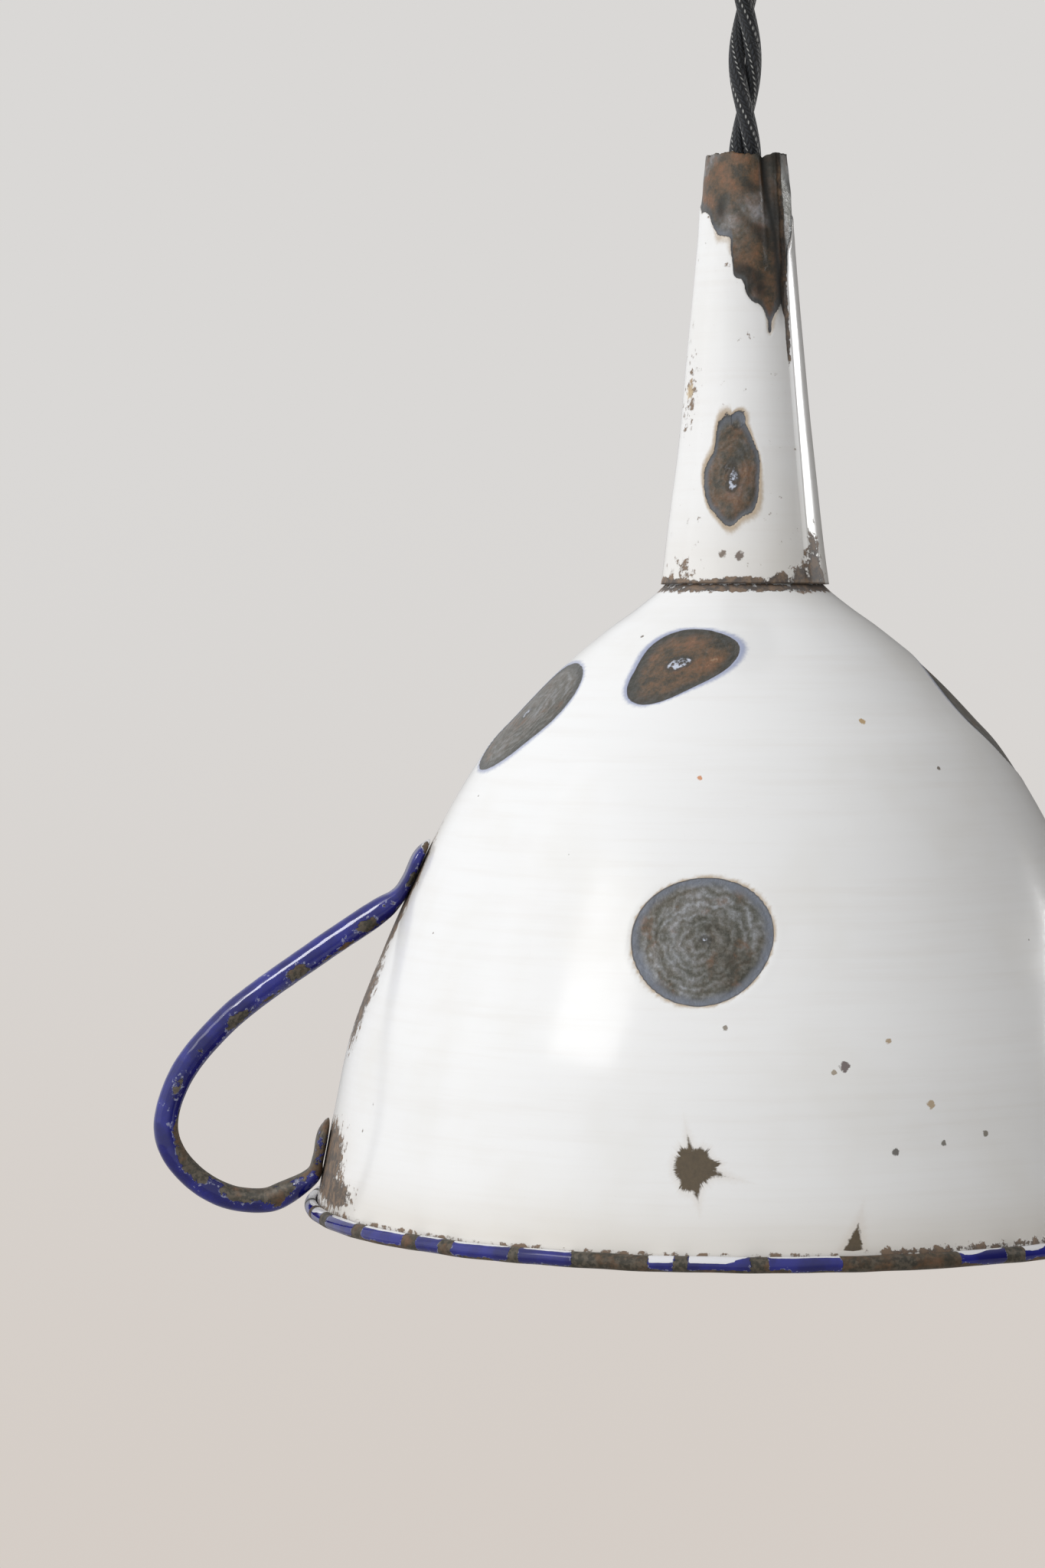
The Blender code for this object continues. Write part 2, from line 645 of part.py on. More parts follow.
def make_flexes(look):
    """The flex in four straight runs: in the rose, across each bend of its swing, and in the lampholder."""
    make_flex("flex_in_rose", ROSE_FLEX_TOP, ROSE_GRIP_BOTTOM - GAP, look, ball=False)
    bend_top = ROSE_GRIP_BOTTOM - 2 * GAP
    bend_low = bend_top - FLEX_RADIUS - BEND_LENGTH
    make_flex("flex_bend", bend_top, bend_low, look, ball=True)
    make_flex("flex_drop", bend_low - GAP, HOLDER_GRIP_TOP + GAP, look, ball=True)
    make_flex("flex_in_holder", HOLDER_GRIP_TOP, HOLDER_FLEX_END, look, ball=False)


def make_suspension(looks):
    """What holds the funnel: support washer, lock washer, nut, nipple and cord grip."""
    hole = NIPPLE_RADIUS + GAP
    ring("support_washer", SUPPORT_RADIUS, hole, SUPPORT_TOP - SUPPORT_THICKNESS, SUPPORT_TOP, looks["steel"])
    lock_low = SUPPORT_TOP + GAP
    lock_high = lock_low + LOCK_WASHER_THICKNESS
    ring("lock_washer", NIPPLE_RADIUS + LOCK_WASHER_WIDTH, hole, lock_low, lock_high, looks["steel"])
    nut_high = lock_high + GAP + NUT_HEIGHT
    make_nut("nipple_nut", lock_high + GAP, nut_high, looks["brass"])
    nipple_top = nut_high + NIPPLE_ABOVE_NUT
    ring("nipple", NIPPLE_RADIUS, NIPPLE_BORE, HOLDER_CAP_TOP - NIPPLE_BELOW_CAP, nipple_top, looks["brass"])
    outline = [
        (GRIP_BORE, HOLDER_GRIP_TOP), (GRIP_RADIUS - GRIP_CHAMFER, HOLDER_GRIP_TOP),
        (GRIP_RADIUS, HOLDER_GRIP_TOP - GRIP_CHAMFER), (GRIP_RADIUS, nut_high + GAP), (hole, nut_high + GAP),
        (hole, nipple_top + GAP), (GRIP_BORE, nipple_top + GAP),
    ]
    grip = turned("cord_grip", outline, looks["brass"])
    middle = (HOLDER_GRIP_TOP + nipple_top) / 2
    cut_grub_hole(grip, middle)
    make_grub("cord_grip_screw", middle, looks["steel"])


def quarter_dome(start, top, end, drop, steps):
    """Points down a quarter of an ellipse, from near (start, top) to (end, top - drop)."""
    points = []
    for i in range(1, steps + 1):
        angle = math.pi / 2 * i / steps
        points.append((start + (end - start) * math.sin(angle), top - drop * (1 - math.cos(angle))))
    return points


def make_holder_cap(look):
    """The domed cap of the lampholder, with the nipple's hole in its top."""
    low = HOLDER_CAP_TOP - HOLDER_CAP_HEIGHT
    ceiling = HOLDER_CAP_TOP - HOLDER_WALL
    hole = NIPPLE_RADIUS + GAP
    shoulder = HOLDER_RADIUS * HOLDER_SHOULDER_SHARE
    inner_shoulder = shoulder - HOLDER_WALL / 2
    outside = [(hole, HOLDER_CAP_TOP), (shoulder, HOLDER_CAP_TOP)]
    outside += quarter_dome(shoulder, HOLDER_CAP_TOP, HOLDER_RADIUS, HOLDER_DOME, DOME_STEPS)
    inside = [(hole, ceiling), (inner_shoulder, ceiling)]
    inside += quarter_dome(inner_shoulder, ceiling, HOLDER_INNER, HOLDER_DOME - HOLDER_WALL, DOME_STEPS)
    turned("holder_cap", outside + [(HOLDER_RADIUS, low), (HOLDER_INNER, low)] + inside[::-1], look)


def make_insert(looks):
    """The porcelain insert with its terminal screws, and the cores that reach them."""
    radius = HOLDER_INNER - GAP
    outline = [(0, INSERT_TOP), (radius, INSERT_TOP), (radius, INSERT_LOW), (0, INSERT_LOW)]
    insert = turned("contact_block", outline, looks["porcelain"])
    bite = INSERT_TOP - BLOCK_BITE
    height = INSERT_TOP + GAP + CORE_RADIUS
    holes = []
    for side, pole in ((-1, "live"), (1, "neutral")):
        place = side * TERMINAL_REACH
        holes.append(
            rod_mesh(SCREW_RADIUS + SCREW_PLAY, (place, 0, INSERT_TOP + GAP), (place, 0, bite - GAP))
        )
        head = (place, 0, INSERT_TOP + GAP + HEAD_HEIGHT)
        make_screw(f"terminal_screw_{pole}", head, (place, 0, bite), looks["brass"])
        spread = side * CORE_SPREAD
        drop = HOLDER_FLEX_END - height
        route = [
            (spread, 0, HOLDER_FLEX_END - GAP),
            (spread, 0, HOLDER_FLEX_END - 0.18 * drop),
            (spread * 2.2, 0, height + 0.06 * drop),
            (side * (TERMINAL_REACH - HEAD_RADIUS - 2 * GAP), 0, height),
        ]
        make_wire(f"core_{pole}", smooth_between(route, 4), CORE_RADIUS, looks[pole])
    cut(insert, *holes)


def make_holder(looks):
    """The lampholder: cap, insert, screw shell, skirt and centre contact."""
    make_holder_cap(looks["bakelite"])
    make_insert(looks)
    lip_top = SKIRT_LOW + HOLDER_LIP_HEIGHT
    ring("screw_shell", SHELL_BORE + SHELL_WALL, SHELL_BORE, lip_top + GAP, INSERT_LOW - GAP, looks["brass"])
    lip = BULB_CAP_RADIUS + HOLDER_LIP_PLAY
    high = HOLDER_CAP_TOP - HOLDER_CAP_HEIGHT - GAP
    outline = [
        (HOLDER_INNER, high), (HOLDER_RADIUS, high), (HOLDER_RADIUS, SKIRT_LOW), (lip, SKIRT_LOW),
        (lip, lip_top), (HOLDER_INNER, lip_top),
    ]
    turned("holder_skirt", outline, looks["bakelite"])
    make_contact(looks["brass"])


def make_contact(look):
    """The springy tongue under the insert that presses on the bulb's button."""
    top = INSERT_LOW - GAP - CONTACT_THICKNESS / 2
    low = BUTTON_TOP + GAP + CONTACT_THICKNESS / 2
    path = [
        (-BUTTON_RADIUS * 1.4, top), (-BUTTON_RADIUS * 0.7, top), (BUTTON_RADIUS * 0.3, low),
        (BUTTON_RADIUS * 0.9, low),
    ]
    bm = bmesh.new()
    half = BUTTON_RADIUS * 0.5
    outline = [bm.verts.new((x, -half, z)) for x, z in sheet_outline(path, CONTACT_THICKNESS)]
    face = bm.faces.new(outline)
    grown = bmesh.ops.extrude_face_region(bm, geom=[face])
    moved = [item for item in grown["geom"] if isinstance(item, bmesh.types.BMVert)]
    bmesh.ops.translate(bm, verts=moved, vec=(0, 2 * half, 0))
    return add("centre_contact", bm, look)


def make_bulb_base(looks):
    """The bulb's button, black glass insulator and screw cap. It returns the cap's lowest height."""
    button_low = BUTTON_TOP - BUTTON_HEIGHT
    button = [
        (0, BUTTON_TOP), (BUTTON_RADIUS * 0.7, BUTTON_TOP), (BUTTON_RADIUS, BUTTON_TOP - BUTTON_HEIGHT / 2),
        (BUTTON_RADIUS, button_low), (0, button_low),
    ]
    turned("bulb_button", button, looks["lead"], SMALL_STEPS)
    top = button_low - GAP
    cap_top = top - INSULATOR_PROUD
    insulator = [
        (0, top), (INSULATOR_TOP_RADIUS, top), (CAP_OPENING_RADIUS - GAP, cap_top),
        (CAP_OPENING_RADIUS - GAP, top - INSULATOR_HEIGHT), (0, top - INSULATOR_HEIGHT),
    ]
    turned("bulb_insulator", insulator, looks["black_glass"])
    cap_low = cap_top - BULB_CAP_LENGTH
    inner = BULB_CAP_RADIUS - BULB_CAP_WALL
    cap = [
        (CAP_OPENING_RADIUS, cap_top), (BULB_CAP_RADIUS - CAP_BEVEL, cap_top - CAP_BEVEL / 3),
        (BULB_CAP_RADIUS, cap_top - CAP_BEVEL), (BULB_CAP_RADIUS, cap_low), (inner, cap_low),
        (inner, cap_top - CAP_BEVEL - BULB_CAP_WALL), (CAP_OPENING_RADIUS, cap_top - BULB_CAP_WALL),
    ]
    turned("bulb_cap", cap, looks["tin"])
    return cap_low


def make_bulb(looks):
    """The bulb: its base, glass, stem and the zigzag of its filament."""
    cap_low = make_bulb_base(looks)
    neck = BULB_CAP_RADIUS - BULB_CAP_WALL - GAP
    centre = cap_low - BULB_NECK
    glass_top = cap_low + 0.75 * BULB_CAP_LENGTH
    outer = [(neck, glass_top), (neck, cap_low), (neck + BULB_NECK_FLARE, cap_low - 6 * BULB_NECK_FLARE)]
    inside = [(radius - GLASS_WALL, height) for radius, height in outer]
    hollow = BULB_RADIUS - GLASS_WALL
    for i in range(GLOBE_STEPS):
        angle = GLOBE_START - GLOBE_SWEEP * i / GLOBE_STEPS
        outer.append((BULB_RADIUS * math.cos(angle), centre + BULB_RADIUS * math.sin(angle)))
        inside.append((hollow * math.cos(angle), centre + hollow * math.sin(angle)))
    outer.append((0, centre - BULB_RADIUS))
    inside.append((0, centre - hollow))
    turned("bulb_glass", outer + inside[::-1], looks["glass"])

    flare = neck - GLASS_WALL - 2 * GAP
    top = glass_top - 2 * GAP
    low = centre + STEM_LOW
    stem = [
        (0, top), (flare, top), (flare, top - GLASS_WALL), (1.4 * STEM_RADIUS, top - 5 * GLASS_WALL),
        (STEM_RADIUS, top - 9 * GLASS_WALL), (STEM_RADIUS, low), (0, low - GLASS_WALL),
    ]
    turned("bulb_stem", stem, looks["glass"])
    points = [(0, 0, low - GLASS_WALL - GAP), (FILAMENT_SPREAD / 2, 0, low - 3 * GLASS_WALL)]
    for i in range(FILAMENT_TURNS):
        angle = math.tau * i / FILAMENT_TURNS
        height = centre + (FILAMENT_LOW if i % 2 else FILAMENT_HIGH)
        points.append((FILAMENT_SPREAD * math.cos(angle), FILAMENT_SPREAD * math.sin(angle), height))
    make_wire("bulb_filament", points, FILAMENT_RADIUS, looks["tungsten"])


def materials():
    """The finishes, each named for what it is on."""
    return {
        "enamel": material("white_enamel", (0.86, 0.85, 0.82), 0.22),
        "blue": material("blue_enamel", (0.05, 0.06, 0.33), 0.2),
        "steel": material("steel", (0.45, 0.44, 0.42), 0.4, 1.0),
        "brass": material("brass", (0.72, 0.52, 0.22), 0.35, 1.0),
        "bakelite": material("black_bakelite", (0.03, 0.03, 0.03), 0.35),
        "porcelain": material("porcelain", (0.85, 0.83, 0.78), 0.3),
        "braid": material("black_braid", (0.03, 0.03, 0.035), 0.9),
        "live": material("brown_core", (0.2, 0.09, 0.04), 0.5),
        "neutral": material("blue_core", (0.05, 0.12, 0.4), 0.5),
        "tin": material("tinned_cap", (0.7, 0.7, 0.68), 0.35, 1.0),
        "lead": material("solder_button", (0.5, 0.5, 0.5), 0.45, 1.0),
        "black_glass": material("black_glass", (0.02, 0.02, 0.03), 0.2),
        "glass": material("clear_glass", (0.9, 0.92, 0.92), 0.05, 0.0, 0.35),
        "tungsten": material("filament", (0.75, 0.6, 0.3), 0.4, 0.5),
    }


def main():
    """Build every node."""
    clear_scene()
    looks = materials()
    make_bowl(looks["enamel"])
    make_rim_wire(looks["steel"])
    make_spout(looks["enamel"])
    make_handle(looks["blue"])
    make_rose(looks)
    make_flexes(looks["braid"])
    make_suspension(looks)
    make_holder(looks)
    make_bulb(looks)


main()
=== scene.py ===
"""The looks of an enamelled funnel that hangs spout up as a pendant lamp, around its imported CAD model.

Metres, +Z up, in the CAD model's frame: the ceiling is at z 0, the flex hangs down the Z axis, and the
funnel's handle points along -X. An angle on a round piece is measured about Z from +X, in degrees. Each
visible surface is a numpy grid with its place in its mesh, and each finish is a procedural material.
"""

from __future__ import annotations

import json
import logging
import math
from collections.abc import Sequence
from dataclasses import dataclass, field
from enum import Enum

import bmesh
import bpy
import numpy as np
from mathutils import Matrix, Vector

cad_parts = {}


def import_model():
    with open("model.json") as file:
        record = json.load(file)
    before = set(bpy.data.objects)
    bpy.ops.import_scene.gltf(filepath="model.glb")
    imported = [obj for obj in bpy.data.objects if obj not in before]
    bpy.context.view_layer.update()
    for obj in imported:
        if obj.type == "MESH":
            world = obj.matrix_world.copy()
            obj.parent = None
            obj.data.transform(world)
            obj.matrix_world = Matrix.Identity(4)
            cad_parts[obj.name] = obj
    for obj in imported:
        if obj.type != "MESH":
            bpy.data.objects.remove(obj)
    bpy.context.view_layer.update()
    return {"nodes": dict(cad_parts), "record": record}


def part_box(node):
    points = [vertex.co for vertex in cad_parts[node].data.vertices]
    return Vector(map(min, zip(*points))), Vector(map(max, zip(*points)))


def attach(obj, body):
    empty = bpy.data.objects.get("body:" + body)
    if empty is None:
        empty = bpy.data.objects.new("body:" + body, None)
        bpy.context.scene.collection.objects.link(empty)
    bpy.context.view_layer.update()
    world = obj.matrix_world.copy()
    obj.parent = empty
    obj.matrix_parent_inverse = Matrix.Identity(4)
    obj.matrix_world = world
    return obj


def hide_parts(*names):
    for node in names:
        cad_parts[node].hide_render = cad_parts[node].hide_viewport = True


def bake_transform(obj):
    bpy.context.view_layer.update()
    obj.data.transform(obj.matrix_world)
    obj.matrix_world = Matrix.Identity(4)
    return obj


LOG = logging.getLogger("funnel_lamp")
MM = 0.001
# The angle that the front of the lamp faces.
FRONT = -97.0
# Below this radius a corner is on the axis.
ON_AXIS = 2e-5
# The sines in a ripple, and the points on a rounded corner.
WAVES = 14
CORNER_STEPS = 4
# The pitch of the thread on a 26 mm screw cap.
CAP_PITCH = 0.00363
# What the chip field (mm to an edge) and the flake field hold away from every chip.
FAR = 40.0
NO_PAINTED_GLINT = -9.0
Array = np.ndarray
Colour = tuple[float, float, float]
Socket = bpy.types.NodeSocket


# Numbers and curves


def srgb(red: float, green: float, blue: float) -> Colour:
    """Turn an 8-bit display colour into a linear one.

    Args:
        red, green, blue: the display values, from 0 to 255.

    Returns:
        The linear colour.
    """
    shares = (value / 255 for value in (red, green, blue))
    return tuple(s / 12.92 if s <= 0.04045 else ((s + 0.055) / 1.055) ** 2.4 for s in shares)


def ease(low: float | Array, high: float | Array, value: Array) -> Array:
    """Rise smoothly from 0 at low to 1 at high: t t (3 - 2 t), with t the clipped share of the way."""
    share = np.clip((value - low) / (high - low), 0.0, 1.0)
    return share * share * (3 - 2 * share)


def hump(value: Array, middle: float | Array, width: float) -> Array:
    """A bell of height 1 about the middle: exp(-((value - middle) / width)^2)."""
    return np.exp(-(((value - middle) / width) ** 2))


def most(*values: Array | float) -> Array:
    """The largest of several arrays at each point, once they are spread over one grid."""
    return np.maximum.reduce(np.broadcast_arrays(*values))


def turn_apart(angle: Array, other: float) -> Array:
    """The signed turn in degrees from the other angle, between -180 and 180."""
    return (angle - other + 180) % 360 - 180


def ripple(points: Array, length: float, seed: int) -> Array:
    """A smooth random field: the mean of sines along random directions, at wavelengths about the length.

    Args:
        points: places, with x, y and z on the last axis.
        length: the middle wavelength in metres.
        seed: the seed of the random directions and phases.

    Returns:
        Values of about -1 to 1, one for each place.
    """
    random = np.random.default_rng(seed)
    ways = random.normal(size=(WAVES, 3))
    ways /= np.linalg.norm(ways, axis=1)[:, None]
    ways *= (2 * math.pi / (length * random.uniform(0.6, 1.7, WAVES)))[:, None]
    phases = random.uniform(0, 2 * math.pi, WAVES)
    return np.sin(points @ ways.T + phases).sum(axis=-1) * math.sqrt(2 / WAVES) / 1.6


def through(points: Sequence[Sequence[float]], count: int) -> Array:
    """A Catmull-Rom curve through the points, resampled to equal steps along its length.

    Args:
        points: places of any dimension, in order.
        count: how many points are returned.

    Returns:
        The points of the curve, as rows.
    """
    knots = np.asarray(points, float)
    ends = np.vstack([2 * knots[0] - knots[1], knots, 2 * knots[-1] - knots[-2]])
    a, b, c, d = (ends[i : len(ends) - 3 + i, None, :] for i in range(4))
    t = np.linspace(0, 1, 24, endpoint=False)[None, :, None]
    square = (2 * a - 5 * b + 4 * c - d) * t**2
    fine = ((2 * b + (c - a) * t + square + (3 * b - a - 3 * c + d) * t**3) / 2).reshape(-1, knots.shape[1])
    fine = np.vstack([fine, knots[-1]])
    return even_steps(fine, count)


def even_steps(line: Array, count: int) -> Array:
    """The points of a line at equal steps along its length."""
    run = np.concatenate([[0.0], np.cumsum(np.linalg.norm(np.diff(line, axis=0), axis=1))])
    wanted = np.linspace(0, run[-1], count)
    return np.stack([np.interp(wanted, run, line[:, i]) for i in range(line.shape[1])], axis=1)


def rounded(corners: Sequence[tuple[float, float]], radius: float, closed: bool = True) -> Array:
    """Round each corner of an outline with a quadratic curve, with a support point on either side of it.

    Args:
        corners: the outline's corners, (radius, height).
        radius: how far from a corner its rounding starts, at most 0.4 of the shorter side.
        closed: whether the last corner joins the first. The ends of an open outline stay sharp.

    Returns:
        The rounded outline, as rows.
    """
    here = np.asarray(corners, float)
    before, after = np.roll(here, 1, axis=0), np.roll(here, -1, axis=0)
    back, on = before - here, after - here
    back_length = np.linalg.norm(back, axis=1)[:, None]
    on_length = np.linalg.norm(on, axis=1)[:, None]
    reach = np.minimum(radius, 0.4 * np.minimum(back_length, on_length))
    start, end = here + back / back_length * reach, here + on / on_length * reach
    t = np.linspace(0, 1, CORNER_STEPS)[None, :, None]
    arcs = start[:, None] * (1 - t) ** 2 + 2 * here[:, None] * t * (1 - t) + end[:, None] * t**2
    support_in = here + back / back_length * reach * 1.2
    support_out = here + on / on_length * reach * 1.2
    rows = np.concatenate([support_in[:, None], arcs, support_out[:, None]], axis=1)
    if closed:
        return rows.reshape(-1, 2)
    return np.vstack([here[:1], rows[1:-1].reshape(-1, 2), here[-1:]])


# Meshes


@dataclass
class Skin:
    """A grid surface: rows run along its profile or length, and columns run round it and close."""

    points: Array
    closed_rows: bool = False
    capped: bool = False
    fields: dict[str, Array] = field(default_factory=dict)
    length: Array | None = None
    finish_of_rows: Array | None = None

    def faces(self) -> tuple[Array, Array, Array]:
        """The quads of the grid.

        Returns:
            The quads' corner numbers, their corners' (turn, length) coordinates, and their finish numbers.
        """
        rows, columns = self.points.shape[:2]
        i = np.arange(rows if self.closed_rows else rows - 1)[:, None]
        j = np.arange(columns)[None, :]
        i_next, j_next = (i + 1) % rows, (j + 1) % columns
        corners = np.stack(
            [i * columns + j, i * columns + j_next, i_next * columns + j_next, i_next * columns + j], axis=-1
        )
        along = self.length if self.length is not None else np.arange(rows) / rows
        along = np.append(along, along[-1] + (along[-1] - along[-2]))
        turns = np.stack([j + 0 * i, j + 1 + 0 * i, j + 1 + 0 * i, j + 0 * i], axis=-1) / columns
        here, after = along[i + 0 * j], along[i + 1 + 0 * j]
        lengths = np.stack([here, here, after, after], axis=-1)
        finish = np.zeros(rows, int) if self.finish_of_rows is None else self.finish_of_rows
        chosen = np.broadcast_to(finish[i], (*corners.shape[:2],))
        return corners.reshape(-1, 4), np.stack([turns, lengths], axis=-1).reshape(-1, 4, 2), chosen.reshape(-1)


class Body(Enum):
    """The CAD bodies that whole pieces ride on."""

    ROSE = "ceiling_rose"
    PENDANT = "pendant"
    BULB = "bulb"


def make_piece(name: str, skins: Sequence[Skin], finishes: Sequence[Finish]) -> bpy.types.Object:
    """Make one mesh object of grid surfaces, facing outwards, smooth, at the origin.

    Args:
        name: the piece's name.
        skins: its grids, each closed on itself.
        finishes: its materials, in the order of the skins' finish numbers.

    Returns:
        The object.
    """
    start = 0
    places, quads, charts, chosen, caps = [], [], [], [], []
    for skin in skins:
        count = skin.points.shape[0] * skin.points.shape[1]
        columns = skin.points.shape[1]
        faces, chart, finish = skin.faces()
        points = skin.points.reshape(-1, 3)
        triangles = np.concatenate([faces[:, :3], faces[:, [0, 2, 3]]])
        a, b, c = (points[triangles[:, k]] - points.mean(axis=0) for k in range(3))
        inside_out = np.einsum("ij,ij->i", a, np.cross(b, c)).sum() < 0
        if inside_out:
            faces, chart = faces[:, ::-1], chart[:, ::-1]
        if skin.capped:
            ends = (np.arange(columns)[::-1], np.arange(count - columns, count))
            caps += [start + (end[::-1] if inside_out else end) for end in ends]
        places.append(points)
        quads.append(faces + start)
        charts.append(chart)
        chosen.append(finish)
        start += count
    mesh = bpy.data.meshes.new(name)
    vertices = np.concatenate(places)
    corners = np.concatenate([np.concatenate(quads).ravel(), *caps]).astype(np.int32)
    quad_count = sum(len(faces) for faces in quads)
    sizes = np.array([4] * quad_count + [len(cap) for cap in caps], np.int32)
    mesh.vertices.add(len(vertices))
    mesh.vertices.foreach_set("co", vertices.astype(np.float32).ravel())
    mesh.loops.add(len(corners))
    mesh.loops.foreach_set("vertex_index", corners)
    mesh.polygons.add(len(sizes))
    mesh.polygons.foreach_set("loop_start", np.concatenate([[0], np.cumsum(sizes)[:-1]]).astype(np.int32))
    numbers = np.concatenate([*chosen, np.zeros(len(caps), int)])
    mesh.polygons.foreach_set("material_index", numbers.astype(np.int32))
    chart_layer = mesh.uv_layers.new(name="chart")
    flat = np.concatenate([np.concatenate(charts).reshape(-1, 2), np.zeros((sum(map(len, caps)), 2))])
    chart_layer.data.foreach_set("uv", flat.astype(np.float32).ravel())
    for title in skins[0].fields:
        values = np.concatenate([skin.fields[title].reshape(-1) for skin in skins])
        mesh.attributes.new(title, "FLOAT", "POINT").data.foreach_set("value", values.astype(np.float32))
    mesh.update(calc_edges=True)
    mesh.validate()
    for finish in finishes:
        mesh.materials.append(finish.material())
    mesh.shade_smooth()
    piece = bpy.data.objects.new(name, mesh)
    bpy.context.scene.collection.objects.link(piece)
    return piece


def settle(piece: bpy.types.Object, body: Body, *nodes: str) -> bpy.types.Object:
    """Let a piece ride on a body and stand for CAD nodes, and report it."""
    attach(piece, body.value)
    if nodes:
        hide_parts(*nodes)
    LOG.info("%s: %d faces on %s, for %s", piece.name, len(piece.data.polygons), body.value, nodes or "nothing")
    return piece


def spun(outline: Array, columns: int = 96) -> Array:
    """Carry a (radius, height) outline round Z: x = r cos a, y = r sin a, z = h."""
    angles = np.linspace(0, 2 * math.pi, columns, endpoint=False)
    return spun_at(outline, angles)


def spun_at(outline: Array, angles: Array) -> Array:
    """Carry an outline to the given angles about Z, in radians."""
    radius, height = outline[:, 0, None], outline[:, 1, None]
    flat = np.zeros_like(angles)[None, :]
    return np.stack([radius * np.cos(angles), radius * np.sin(angles), height + flat], axis=-1)


def turned_piece(name: str, corners: Sequence[tuple[float, float]], soften: float, finish: Finish) -> bpy.types.Object:
    """A round piece with rounded edges. Where its outline starts on the axis, it is closed there.

    Args:
        name: the piece's name.
        corners: its outline's corners, (radius, height).
        soften: the size of its rounded edges.
        finish: its material.

    Returns:
        The object.
    """
    solid = corners[0][0] < ON_AXIS
    outline = rounded(corners, soften, closed=not solid)
    return make_piece(name, [Skin(spun(outline), closed_rows=not solid, capped=solid)], [finish])


def threaded(outline: Array, pitch: float, depth: float, low: float, high: float, columns: int = 72) -> Array:
    """Carry an outline round Z with a thread: the radius adds depth/2 cos(2 pi (z / pitch - turn)) from low to high.

    Args:
        outline: the (radius, height) outline, with enough points along the thread.
        pitch: the thread's rise in one turn.
        depth: crest to root.
        low, high: the heights between which the thread runs, fading over half a pitch.
        columns: steps round.

    Returns:
        The grid of points.
    """
    angles = np.linspace(0, 2 * math.pi, columns, endpoint=False)
    points = spun_at(outline, angles)
    height = outline[:, 1, None]
    fade = ease(low, low + pitch / 2, height) * (1 - ease(high - pitch / 2, high, height))
    lift = depth / 2 * np.cos(2 * math.pi * height / pitch - angles[None, :]) * fade
    scale = 1 + lift / np.maximum(outline[:, 0, None], 1e-6)
    points[..., 0] *= scale
    points[..., 1] *= scale
    return points


# Shader graphs


